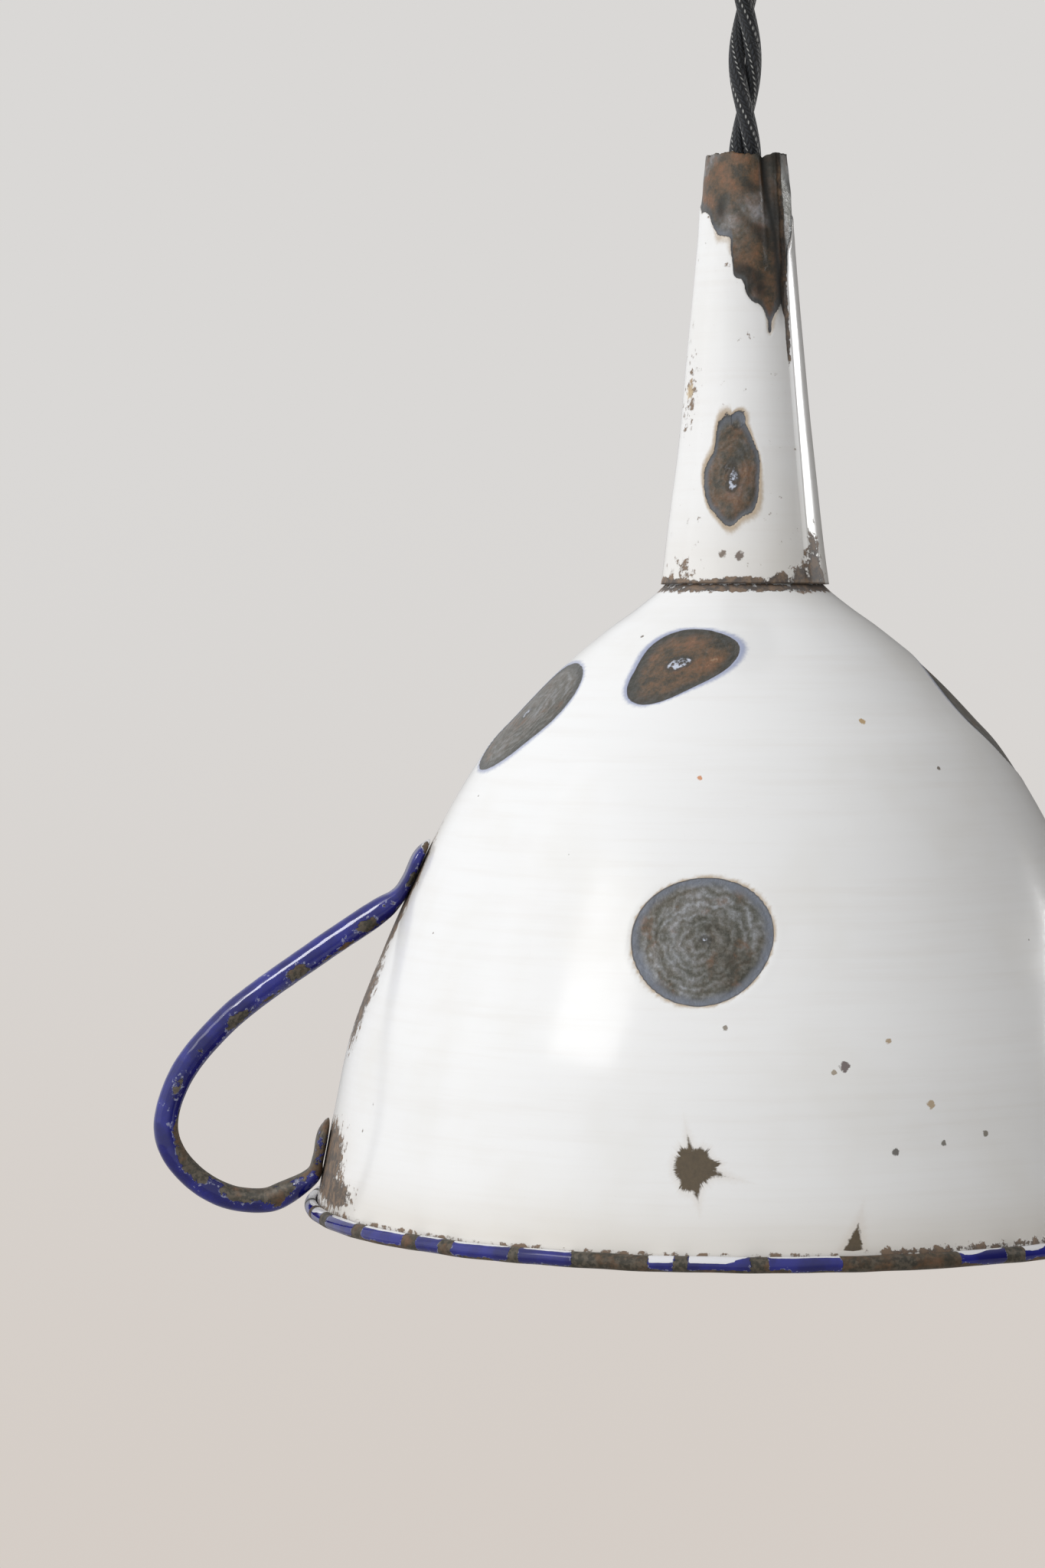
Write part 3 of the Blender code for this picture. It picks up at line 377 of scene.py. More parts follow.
class Graph:
    """One node tree, with a method for each kind of node that the finishes use."""

    def __init__(self, tree: bpy.types.NodeTree) -> None:
        """Work on this tree."""
        self.tree = tree

    def node(self, kind: str, **settings: object) -> bpy.types.Node:
        """Add a shader node and set its properties."""
        made = self.tree.nodes.new("ShaderNode" + kind)
        for name, value in settings.items():
            setattr(made, name, value)
        return made

    def feed(self, socket: Socket, value: object) -> None:
        """Link a socket to another one, or set its own value."""
        if isinstance(value, Socket):
            self.tree.links.new(value, socket)
        elif socket.type == "RGBA":
            socket.default_value = (*value[:3], 1.0)
        else:
            socket.default_value = value

    def math(self, operation: str, first: object, second: object = 0.0) -> Socket:
        """One arithmetic step."""
        made = self.node("Math", operation=operation)
        self.feed(made.inputs[0], first)
        self.feed(made.inputs[1], second)
        return made.outputs[0]

    def times(self, first: object, second: object) -> Socket:
        """The product of two values."""
        return self.math("MULTIPLY", first, second)

    def plus(self, first: object, second: object) -> Socket:
        """The sum of two values."""
        return self.math("ADD", first, second)

    def weighed(self, value: object, weight: float, more: object = 0.0) -> Socket:
        """The value times a weight, plus another value."""
        made = self.node("Math", operation="MULTIPLY_ADD")
        self.feed(made.inputs[0], value)
        self.feed(made.inputs[1], weight)
        self.feed(made.inputs[2], more)
        return made.outputs[0]

    def mix(self, share: object, first: object, second: object) -> Socket:
        """A colour between two, by a share."""
        made = self.node("Mix", data_type="RGBA")
        self.feed(made.inputs[0], share)
        self.feed(made.inputs[6], first)
        self.feed(made.inputs[7], second)
        return made.outputs[2]

    def blend(self, share: object, first: object, second: object) -> Socket:
        """A number between two, by a share."""
        made = self.node("Mix", data_type="FLOAT")
        self.feed(made.inputs[0], share)
        self.feed(made.inputs[2], first)
        self.feed(made.inputs[3], second)
        return made.outputs[0]

    def step(self, value: object, low: float, high: float) -> Socket:
        """Rise smoothly from 0 at low to 1 at high, or fall if low is the larger."""
        made = self.node("MapRange", interpolation_type="SMOOTHSTEP")
        self.feed(made.inputs["Value"], value)
        falling = low > high
        made.inputs["From Min"].default_value = min(low, high)
        made.inputs["From Max"].default_value = max(low, high)
        made.inputs["To Min"].default_value = 1.0 if falling else 0.0
        made.inputs["To Max"].default_value = 0.0 if falling else 1.0
        return made.outputs["Result"]

    def noise(self, place: object, scale: object, detail: float = 4.0, rough: float = 0.55) -> Socket:
        """A fractal noise value."""
        made = self.node("TexNoise")
        self.feed(made.inputs["Vector"], place)
        self.feed(made.inputs["Scale"], scale)
        made.inputs["Detail"].default_value = detail
        made.inputs["Roughness"].default_value = rough
        return made.outputs[0]

    def cells(self, place: object, scale: float) -> tuple[Socket, Socket]:
        """The distance to the nearest of scattered points, and that point's random colour."""
        made = self.node("TexVoronoi")
        self.feed(made.inputs["Vector"], place)
        made.inputs["Scale"].default_value = scale
        return made.outputs["Distance"], made.outputs["Color"]

    def stretched(self, place: object, scale: tuple) -> Socket:
        """A place with each axis scaled."""
        made = self.node("Mapping")
        self.feed(made.inputs["Vector"], place)
        made.inputs["Scale"].default_value = scale
        return made.outputs[0]

    def local(self, place: object, middle: tuple, spin: tuple, sizes: tuple) -> Socket:
        """A place seen from a middle point, turned back by the spin and divided by the sizes."""
        made = self.node("Mapping", vector_type="TEXTURE")
        self.feed(made.inputs["Vector"], place)
        made.inputs["Location"].default_value = middle
        made.inputs["Rotation"].default_value = spin
        made.inputs["Scale"].default_value = sizes
        return made.outputs[0]

    def length(self, vector: object) -> Socket:
        """The length of a vector."""
        made = self.node("VectorMath", operation="LENGTH")
        self.feed(made.inputs[0], vector)
        return made.outputs["Value"]

    def parts(self, vector: object) -> tuple[Socket, ...]:
        """The x, y and z of a vector."""
        made = self.node("SeparateXYZ")
        self.feed(made.inputs[0], vector)
        return tuple(made.outputs)

    def scale_of(self, value: object, stops: Sequence[tuple[float, Colour]]) -> Socket:
        """A colour scale read at a value."""
        made = self.node("ValToRGB")
        ramp = made.color_ramp
        while len(ramp.elements) < len(stops):
            ramp.elements.new(0.5)
        for element, (position, colour) in zip(ramp.elements, stops):
            element.position = position
            element.color = (*colour, 1.0)
        self.feed(made.inputs[0], value)
        return made.outputs[0]

    def attribute(self, name: str) -> Socket:
        """A number stored at the mesh's points."""
        return self.node("Attribute", attribute_name=name).outputs["Fac"]

    def object_place(self) -> Socket:
        """The place on the object, in metres."""
        return self.node("TexCoord").outputs["Object"]

    def chart(self) -> Socket:
        """The surface's own (turn, length) coordinates."""
        return self.node("UVMap", uv_map="chart").outputs[0]

    def bump(self, height: object, distance: float) -> Socket:
        """A normal from a height that is in units of the distance."""
        made = self.node("Bump")
        made.inputs["Strength"].default_value = 1.0
        made.inputs["Distance"].default_value = distance
        self.feed(made.inputs["Height"], height)
        return made.outputs[0]

    def use(self, tree: bpy.types.NodeTree, **inputs: object) -> bpy.types.Node:
        """Place a shared group and feed its inputs, whose names have spaces for underscores."""
        made = self.node("Group", node_tree=tree)
        for name, value in inputs.items():
            self.feed(made.inputs[name.replace("_", " ")], value)
        return made


class Effect:
    """A shared shader group. A subclass names its sockets and builds its inside once."""

    name = "effect"
    takes: dict[str, str] = {}
    gives: dict[str, str] = {}

    def tree(self) -> bpy.types.NodeTree:
        """The group's node tree, built on first use."""
        found = bpy.data.node_groups.get(self.name)
        if found:
            return found
        made = bpy.data.node_groups.new(self.name, "ShaderNodeTree")
        for title, kind in self.takes.items():
            made.interface.new_socket(name=title, in_out="INPUT", socket_type="NodeSocket" + kind)
        for title, kind in self.gives.items():
            made.interface.new_socket(name=title, in_out="OUTPUT", socket_type="NodeSocket" + kind)
        graph = Graph(made)
        taken = made.nodes.new("NodeGroupInput").outputs
        given = made.nodes.new("NodeGroupOutput").inputs
        self.build(graph, taken, given)
        return made

    def build(self, graph: Graph, taken: object, given: object) -> None:
        """Build the group's inside."""
        raise NotImplementedError


class RustEffect(Effect):
    """Brown, orange and near-black rust, with a grainy height."""

    name = "rust"
    takes = {"Vector": "Vector", "Scale": "Float"}
    gives = {"Color": "Color", "Height": "Float"}

    def build(self, graph: Graph, taken: object, given: object) -> None:
        """Mix two noises: the coarse one picks the colour and the fine one is the grain."""
        coarse = graph.noise(taken["Vector"], taken["Scale"], 6.0, 0.62)
        fine_scale = graph.times(taken["Scale"], 5.0)
        fine = graph.noise(taken["Vector"], fine_scale, 4.0, 0.7)
        value = graph.weighed(fine, 0.35, graph.weighed(coarse, 0.8, -0.08))
        stops = (
            (0.30, srgb(34, 34, 27)),
            (0.42, srgb(64, 54, 38)),
            (0.52, srgb(98, 74, 50)),
            (0.63, srgb(122, 84, 56)),
            (0.76, srgb(160, 134, 102)),
        )
        graph.feed(given["Color"], graph.scale_of(value, stops))
        graph.feed(given["Height"], graph.weighed(fine, 0.6, graph.times(coarse, 0.6)))


class ChipEffect(Effect):
    """The bands of a chip in enamel, from its distance in millimetres and how ragged its edge is."""

    name = "chip"
    takes = {"Vector": "Vector", "Distance": "Float", "Rag": "Float"}
    gives = {"Bare": "Float", "Border": "Float", "Edge": "Float"}

    def build(self, graph: Graph, taken: object, given: object) -> None:
        """Shift the distance by two noises, then cut it into bands."""
        coarse = graph.noise(taken["Vector"], 420.0, 3.0)
        fine = graph.noise(taken["Vector"], 2300.0, 3.0)
        shift = graph.weighed(coarse, 1.5, graph.weighed(fine, 0.55, -1.02))
        ragged = graph.times(shift, graph.weighed(taken["Rag"], 0.95, 0.14))
        edge = graph.plus(taken["Distance"], ragged)
        graph.feed(given["Edge"], edge)
        graph.feed(given["Bare"], graph.step(edge, 0.10, -0.10))
        wide = graph.noise(taken["Vector"], 240.0, 3.0)
        soft = graph.weighed(wide, 3.4, graph.plus(edge, -1.7))
        graph.feed(given["Border"], graph.step(soft, -4.2, -0.8))


class BurstEffect(Effect):
    """A spiky stain in millimetres about its middle: a furred blot and three long spikes, with a faint tan haze."""

    name = "burst"
    takes = {"Vector": "Vector", "Fuzz": "Float"}
    gives = {"Mask": "Float", "Haze": "Float"}
    spikes = ((-1.2, 5.6, 1.5), (6.6, -1.6, 1.6), (1.0, -6.0, 2.3))

    def build(self, graph: Graph, taken: object, given: object) -> None:
        """Fur the blot by a noise of its direction, and join the spikes, each a wedge from the middle to its tip."""
        flat = graph.node("VectorMath", operation="MULTIPLY")
        graph.feed(flat.inputs[0], taken["Vector"])
        flat.inputs[1].default_value = (1.0, 0.0, 1.0)
        way = graph.node("VectorMath", operation="NORMALIZE")
        graph.feed(way.inputs[0], flat.outputs[0])
        reach = graph.length(flat.outputs[0])
        broad = graph.noise(way.outputs[0], 1.6, 2.0)
        fur = graph.noise(way.outputs[0], 14.0, 3.0, 0.7)
        size = graph.weighed(broad, 3.6, graph.weighed(fur, 2.4, 0.9))
        inside = graph.math("SUBTRACT", size, reach)
        across, _, up = graph.parts(flat.outputs[0])
        for right, rise, width in self.spikes:
            long = math.hypot(right, rise)
            share = graph.weighed(across, right / long**2, graph.times(up, rise / long**2))
            side = graph.weighed(across, -rise / long, graph.times(up, right / long))
            left = graph.weighed(graph.math("MAXIMUM", share, 0.0), -width, width)
            wedge = graph.math("SUBTRACT", left, graph.math("ABSOLUTE", side))
            wedge = graph.weighed(graph.step(share, 0.0, -0.1), -9.0, wedge)
            inside = graph.math("MAXIMUM", inside, wedge)
        inside = graph.weighed(taken["Fuzz"], 1.1, graph.plus(inside, -0.55))
        graph.feed(given["Mask"], graph.step(inside, -0.15, 0.45))
        graph.feed(given["Haze"], graph.step(inside, -1.5, 0.2))


class WedgeEffect(BurstEffect):
    """A small pointed chip that stands on the rim and leans over."""

    name = "wedge"
    spikes = ((1.3, 4.6, 1.7),)

    def build(self, graph: Graph, taken: object, given: object) -> None:
        """One wedge from the rim to its tip."""
        across, _, up = graph.parts(taken["Vector"])
        right, rise, width = self.spikes[0]
        lean = graph.weighed(up, -right / rise, across)
        left = graph.weighed(up, -width / rise, width)
        inside = graph.math("SUBTRACT", left, graph.math("ABSOLUTE", lean))
        inside = graph.weighed(taken["Fuzz"], 1.1, graph.plus(inside, -0.55))
        inside = graph.weighed(graph.step(up, -0.2, -1.0), -9.0, inside)
        graph.feed(given["Mask"], graph.step(inside, -0.15, 0.3))
        graph.feed(given["Haze"], graph.step(inside, -2.0, 0.2))


class SpeckEffect(Effect):
    """Scattered small specks of dirt and rust in enamel."""

    name = "specks"
    takes = {"Vector": "Vector"}
    gives = {"Mask": "Float"}

    def build(self, graph: Graph, taken: object, given: object) -> None:
        """Keep a few of the scattered points and shape each with a noise."""
        wobble = graph.noise(taken["Vector"], 2600.0, 2.0)
        masks = []
        for scale, size, share in ((95.0, 0.040, 0.80), (210.0, 0.045, 0.86)):
            distance, colour = graph.cells(taken["Vector"], scale)
            kept = graph.step(graph.parts(colour)[0], share, share + 0.01)
            near = graph.step(graph.weighed(wobble, 0.05, distance), size + 0.034, size + 0.018)
            masks.append(graph.times(kept, near))
        graph.feed(given["Mask"], graph.math("MAXIMUM", *masks))


class GrimeEffect(Effect):
    """Slow blotches and a fine grain, for metal, plastic and porcelain."""

    name = "grime"
    takes = {"Vector": "Vector", "Scale": "Float"}
    gives = {"Blotch": "Float", "Grain": "Float"}

    def build(self, graph: Graph, taken: object, given: object) -> None:
        """A broad noise for blotches and a fine one for grain."""
        broad = graph.noise(taken["Vector"], taken["Scale"], 5.0, 0.6)
        graph.feed(given["Blotch"], graph.step(broad, 0.38, 0.68))
        fine_scale = graph.times(taken["Scale"], 9.0)
        graph.feed(given["Grain"], graph.noise(taken["Vector"], fine_scale, 4.0, 0.65))


# Finishes


def round_place(angle: float, height: float, radius: float) -> tuple[float, float, float]:
    """The place at an angle in degrees, a height and a radius."""
    turn = math.radians(angle)
    return radius * math.cos(turn), radius * math.sin(turn), height


# Small marks on the bowl and spout: (angle, height, radius of the place, size, colour).
MARKS = (
    (-83.3, -0.2468, 0.0763, 0.00095, srgb(70, 44, 38)),
    (-84.8, -0.2478, 0.0766, 0.00050, srgb(150, 134, 110)),
    (-77.1, -0.2619, 0.0799, 0.00070, srgb(64, 58, 48)),
    (-71.5, -0.2539, 0.0781, 0.00080, srgb(172, 148, 112)),
    (-70.2, -0.2608, 0.0796, 0.00055, srgb(96, 90, 78)),
    (-63.7, -0.2596, 0.0794, 0.00060, srgb(110, 102, 86)),
    (-76.6, -0.2426, 0.0748, 0.00055, srgb(166, 140, 104)),
    (-105.8, -0.1961, 0.0527, 0.00050, srgb(206, 128, 62)),
    (-67.7, -0.1859, 0.0449, 0.00070, srgb(176, 140, 74)),
    (-99.5, -0.2400, 0.0738, 0.00050, srgb(120, 108, 90)),
    (-158.0, -0.1210, 0.0124, 0.00100, srgb(150, 116, 66)),
    (-160.0, -0.1228, 0.0126, 0.00160, srgb(204, 182, 146)),
    (-104.0, -0.1190, 0.0122, 0.00042, srgb(76, 56, 44)),
    (-113.0, -0.1543, 0.0158, 0.00085, srgb(96, 74, 52)),
    (-100.5, -0.1546, 0.0158, 0.00100, srgb(84, 62, 44)),
    (-82.0, -0.1290, 0.0134, 0.00045, srgb(196, 160, 140)),
)
# (angle, height, radius, size of a unit) of the spiky stain and of the pointed chip at the rim.
STAR = (-103.3, -0.2644, 0.0802, MM)
RIM_CHIP = (-83.4, -0.2785, 0.0835, MM)


@dataclass(frozen=True)
class Finish:
    """A material, named for the record's slot that it belongs to."""

    slot: str

    def material(self) -> bpy.types.Material:
        """The Blender material, built on first use."""
        name = f"{self.slot}_finish"
        found = bpy.data.materials.get(name)
        if found:
            return found
        made = bpy.data.materials.new(name)
        made.use_nodes = True
        self.dress(Graph(made.node_tree), made.node_tree.nodes["Principled BSDF"])
        return made

    def dress(self, graph: Graph, shader: bpy.types.Node) -> None:
        """Feed the shader."""
        raise NotImplementedError


@dataclass(frozen=True)
class WhiteEnamel(Finish):
    """Gloss white enamel on steel, chipped to its blue-grey ground coat and to rusty steel.

    It reads the mesh's fields: chip (mm to a chip's edge, negative inside), ring (mm from its middle), tone
    (0 blue-grey to 1 rust), rim (0 dark to 1 blue-grey border), halo (blue up to 1, tan down to -1), flake
    (mm into a painted glint in its middle: a pale highlight on a raised, glossy patch), rag (0 smooth to 1 ragged
    edge), stain (0 to 1 brown staining), shade (0 to 1 old yellowing) and crease (0 to 1 darkness: painted shade
    along the spout's fold, with dark patches on its bare steel).
    """

    slot: str = "white_enamel"

    def glaze(self, graph: Graph, place: object, clouds: object, grain: object) -> Socket:
        """The sound enamel: level bands and clouds of dirt, old yellowing, and a chip's blue or tan halo.

        Args:
            graph: the material's graph.
            place: the place on the object.
            clouds, grain: a broad and a fine noise.

        Returns:
            The colour.
        """
        bands = graph.noise(graph.stretched(place, (1.0, 1.0, 24.0)), 26.0, 5.0, 0.6)
        enamel = graph.mix(graph.step(bands, 0.40, 0.8), srgb(238, 238, 237), srgb(235, 234, 232))
        enamel = graph.mix(graph.times(graph.step(clouds, 0.45, 0.75), 0.3), enamel, srgb(224, 221, 213))
        enamel = graph.mix(graph.attribute("shade"), enamel, srgb(192, 176, 148))
        halo = graph.attribute("halo")
        blue = graph.weighed(grain, 0.5, graph.plus(halo, -0.25))
        enamel = graph.mix(graph.times(graph.step(blue, 0.05, 0.95), 0.9), enamel, srgb(150, 158, 186))
        tan = graph.weighed(halo, -1.0, graph.weighed(grain, 0.5, -0.25))
        return graph.mix(graph.times(graph.step(tan, 0.05, 0.95), 0.85), enamel, srgb(176, 154, 124))

    def marked(self, graph: Graph, place: object, colour: object, grain: object, pits: object) -> Socket:
        """Lay the small marks, the spiky stain and the pointed chip over a colour.

        Args:
            graph: the material's graph.
            place: the place on the object.
            colour: what the marks lie on.
            grain, pits: a fine and a rough noise.

        Returns:
            The colour with the marks.
        """
        for angle, height, radius, size, tint in MARKS:
            off = graph.length(graph.local(place, round_place(angle, height, radius), (0, 0, 0), (size, size, size)))
            near = graph.step(graph.weighed(grain, 1.6, graph.plus(off, -0.8)), 1.15, 0.75)
            colour = graph.mix(graph.times(near, 0.85), colour, tint)
        for (angle, height, radius, size), effect in ((STAR, BurstEffect()), (RIM_CHIP, WedgeEffect())):
            spin = (0.0, 0.0, math.radians(angle + 90))
            local = graph.local(place, round_place(angle, height, radius), spin, (size, size * 3, size))
            blot = graph.use(effect.tree(), Vector=local, Fuzz=grain).outputs
            near = graph.step(graph.math("ABSOLUTE", graph.parts(local)[1]), 9.0, 6.0)
            haze = graph.times(blot["Haze"], graph.times(near, 0.16))
            colour = graph.mix(haze, colour, srgb(176, 150, 116))
            mask = graph.times(blot["Mask"], near)
            colour = graph.mix(mask, colour, graph.mix(pits, srgb(60, 52, 38), srgb(104, 88, 64)))
        return colour

    def dress(self, graph: Graph, shader: bpy.types.Node) -> None:
        """Lay the enamel, its halo, the ground coat, the bare steel, a painted glint in a chip's middle, the stains
        and the painted shade along the spout's fold over each other.
        """
        place = graph.object_place()
        rag = graph.attribute("rag")
        chip = graph.use(ChipEffect().tree(), Vector=place, Distance=graph.attribute("chip"), Rag=rag).outputs
        rust = graph.use(RustEffect().tree(), Vector=place, Scale=260.0).outputs
        specks = graph.use(SpeckEffect().tree(), Vector=place).outputs["Mask"]
        tone = graph.attribute("tone")
        ring = graph.attribute("ring")
        bare = chip["Bare"]

        clouds = graph.noise(place, 38.0, 3.0)
        grain = graph.noise(place, 1500.0, 3.0, 0.6)
        enamel = self.glaze(graph, place, clouds, grain)

        wave = graph.noise(place, 330.0, 3.0)
        turns = graph.math("SINE", graph.weighed(wave, 16.0, graph.times(ring, 3.4)))
        pits = graph.noise(place, 900.0, 5.0, 0.7)
        broad = graph.noise(place, 120.0, 4.0)
        swirl_value = graph.weighed(turns, 0.065, graph.weighed(pits, 0.62, graph.weighed(broad, 0.75, -0.20)))
        swirl_stops = (
            (0.30, srgb(58, 58, 50)),
            (0.44, srgb(90, 90, 83)),
            (0.58, srgb(120, 121, 120)),
            (0.76, srgb(164, 168, 174)),
        )
        swirl = graph.scale_of(swirl_value, swirl_stops)
        blotch = graph.step(graph.noise(place, 190.0, 4.0), 0.53, 0.65)
        rusty = graph.math("MAXIMUM", graph.times(blotch, 0.6), tone)
        inside = graph.mix(rusty, swirl, rust["Color"])
        border = graph.mix(graph.attribute("rim"), srgb(42, 43, 34), srgb(112, 118, 130))
        border = graph.mix(graph.step(pits, 0.35, 0.65), border, graph.mix(0.35, border, srgb(96, 98, 98)))
        inside = graph.mix(graph.times(chip["Border"], 0.88), inside, border)
        line = graph.times(graph.step(chip["Edge"], -0.45, -0.10), 0.55)
        inside = graph.mix(line, inside, srgb(62, 56, 50))
        # A painted glint in a chip's middle: a pale bluish-white highlight with a dark outline, on a raised glossy
        # patch.
        flake = graph.weighed(wave, 5.0, graph.plus(graph.attribute("flake"), -2.5))
        inside = graph.mix(graph.times(graph.step(flake, -0.9, -0.2), 0.7), inside, srgb(46, 44, 38))
        painted_glint_mask = graph.times(graph.step(flake, 0.0, 0.35), graph.step(pits, 0.40, 0.54))
        inside = graph.mix(painted_glint_mask, inside, srgb(196, 202, 216))
        colour = graph.mix(bare, enamel, inside)

        stain = graph.attribute("stain")
        soil = graph.noise(place, 520.0, 6.0, 0.68)
        soiled = graph.step(graph.weighed(soil, 1.5, graph.weighed(stain, 1.0, -0.98)), 0.22, 0.34)
        soil_colour = graph.mix(graph.step(soil, 0.42, 0.62), srgb(58, 46, 36), srgb(120, 95, 70))
        colour = graph.mix(graph.times(soiled, 0.93), colour, soil_colour)
        speckled = graph.times(specks, graph.step(bare, 0.5, 0.0))
        colour = graph.mix(graph.times(speckled, 0.85), colour, srgb(92, 76, 58))
        colour = self.marked(graph, place, colour, grain, pits)
        # Painted shade along the spout's fold, with dark patches on its bare steel, mixed towards near-black and
        # matte.
        crease = graph.attribute("crease")
        colour = graph.mix(crease, colour, srgb(20, 20, 16))
        graph.feed(shader.inputs["Base Color"], colour)

        dull = graph.math("MAXIMUM", graph.weighed(painted_glint_mask, -0.8, bare), soiled)
        shine = graph.blend(graph.step(clouds, 0.4, 0.7), 0.15, 0.22)
        bare_rough = graph.blend(rusty, 0.32, 0.42)
        rough = graph.blend(soiled, graph.blend(dull, shine, bare_rough), 0.65)
        graph.feed(shader.inputs["Roughness"], graph.blend(crease, rough, 0.72))
        metal = graph.times(bare, graph.weighed(rusty, -0.35, 0.35))
        graph.feed(shader.inputs["Metallic"], metal)

        relief = graph.weighed(turns, 0.022, graph.weighed(pits, 0.16, graph.times(rust["Height"], 0.12)))
        relief = graph.times(bare, graph.plus(relief, -0.26))
        relief = graph.weighed(soiled, 0.05, graph.weighed(painted_glint_mask, 0.12, relief))
        peel = graph.noise(place, 110.0, 2.0)
        relief = graph.weighed(peel, 0.04, relief)
        graph.feed(shader.inputs["Normal"], graph.bump(relief, MM))


@dataclass(frozen=True)
class BlueEnamel(Finish):
    """Cobalt-blue enamel over steel, worn through along its edges. It reads the fields wear and white, from 0 to 1."""

    slot: str = "blue_enamel"

    def dress(self, graph: Graph, shader: bpy.types.Node) -> None:
        """Blue glass, white flecks round each worn place, and dark rusty steel inside it."""
        place = graph.object_place()
        rust = graph.use(RustEffect().tree(), Vector=place, Scale=330.0).outputs
        wear = graph.attribute("wear")
        coarse = graph.noise(place, 150.0, 4.0, 0.6)
        fine = graph.noise(place, 1100.0, 4.0, 0.6)
        white = graph.step(graph.weighed(coarse, 1.2, graph.plus(graph.attribute("white"), -0.6)), 0.42, 0.52)
        value = graph.weighed(coarse, 1.5, graph.weighed(fine, 0.5, graph.plus(wear, -1.0)))
        bare = graph.step(value, 0.50, 0.54)
        fringe = graph.times(graph.step(value, 0.42, 0.47), graph.step(fine, 0.50, 0.58))
        flakes = graph.step(graph.noise(place, 700.0, 2.0), 0.70, 0.73)
        fringe = graph.math("MAXIMUM", fringe, graph.times(flakes, graph.step(wear, 0.35, 0.6)))
        blue = graph.mix(graph.step(coarse, 0.35, 0.65), srgb(15, 17, 92), srgb(30, 34, 126))
        steel = graph.mix(graph.step(fine, 0.42, 0.60), srgb(56, 53, 44), srgb(90, 82, 70))
        steel = graph.mix(graph.times(graph.step(coarse, 0.46, 0.58), 0.6), steel, rust["Color"])
        colour = graph.mix(graph.times(fringe, 0.55), blue, srgb(170, 174, 192))
        colour = graph.mix(white, colour, srgb(222, 222, 224))
        colour = graph.mix(bare, colour, steel)
        graph.feed(shader.inputs["Base Color"], colour)
        graph.feed(shader.inputs["Roughness"], graph.blend(bare, graph.blend(fringe, 0.10, 0.35), 0.55))
        graph.feed(shader.inputs["Metallic"], graph.times(bare, 0.25))
        relief = graph.times(bare, graph.weighed(rust["Height"], 0.12, -0.22))
        relief = graph.weighed(graph.noise(place, 260.0, 2.0), 0.03, relief)
        graph.feed(shader.inputs["Normal"], graph.bump(relief, MM))


@dataclass(frozen=True)
class Metal(Finish):
    """A plain metal with blotches of tarnish and a fine grain."""

    clean: Colour = (0.6, 0.6, 0.6)
    tarnished: Colour = (0.3, 0.3, 0.3)
    roughness: float = 0.3

    def dress(self, graph: Graph, shader: bpy.types.Node) -> None:
        """Mix clean and tarnished metal by the grime group."""
        place = graph.object_place()
        grime = graph.use(GrimeEffect().tree(), Vector=place, Scale=170.0).outputs
        graph.feed(shader.inputs["Base Color"], graph.mix(grime["Blotch"], self.clean, self.tarnished))
        rough = graph.blend(grime["Blotch"], self.roughness, self.roughness + 0.18)
        graph.feed(shader.inputs["Roughness"], graph.weighed(grime["Grain"], 0.12, rough))
        shader.inputs["Metallic"].default_value = 1.0
        graph.feed(shader.inputs["Normal"], graph.bump(grime["Grain"], 0.04 * MM))


@dataclass(frozen=True)
class Moulded(Finish):
    """Moulded plastic, porcelain or insulation: one colour with faint mottling and a soft gloss."""

    colour: Colour = (0.03, 0.03, 0.03)
    mottled: Colour = (0.05, 0.04, 0.03)
    roughness: float = 0.3
    grain: float = 0.02

    def dress(self, graph: Graph, shader: bpy.types.Node) -> None:
        """Mix the two tones by the grime group and dull the gloss where it lies."""
        place = graph.object_place()
        grime = graph.use(GrimeEffect().tree(), Vector=place, Scale=95.0).outputs
        graph.feed(shader.inputs["Base Color"], graph.mix(grime["Blotch"], self.colour, self.mottled))
        graph.feed(shader.inputs["Roughness"], graph.blend(grime["Blotch"], self.roughness, self.roughness + 0.14))
        graph.feed(shader.inputs["Normal"], graph.bump(grime["Grain"], self.grain * MM))


@dataclass(frozen=True)
class Glass(Finish):
    """Clear bulb glass."""

    tint: Colour = (0.96, 0.98, 0.98)

    def dress(self, graph: Graph, shader: bpy.types.Node) -> None:
        """Set the glass on the shader, with a faint ripple from drawing."""
        shader.inputs["Base Color"].default_value = (*self.tint, 1.0)
        shader.inputs["Roughness"].default_value = 0.02
        shader.inputs["IOR"].default_value = 1.5
        shader.inputs["Transmission Weight"].default_value = 1.0
        ripples = graph.noise(graph.object_place(), 70.0, 2.0)
        graph.feed(shader.inputs["Normal"], graph.bump(ripples, 0.05 * MM))


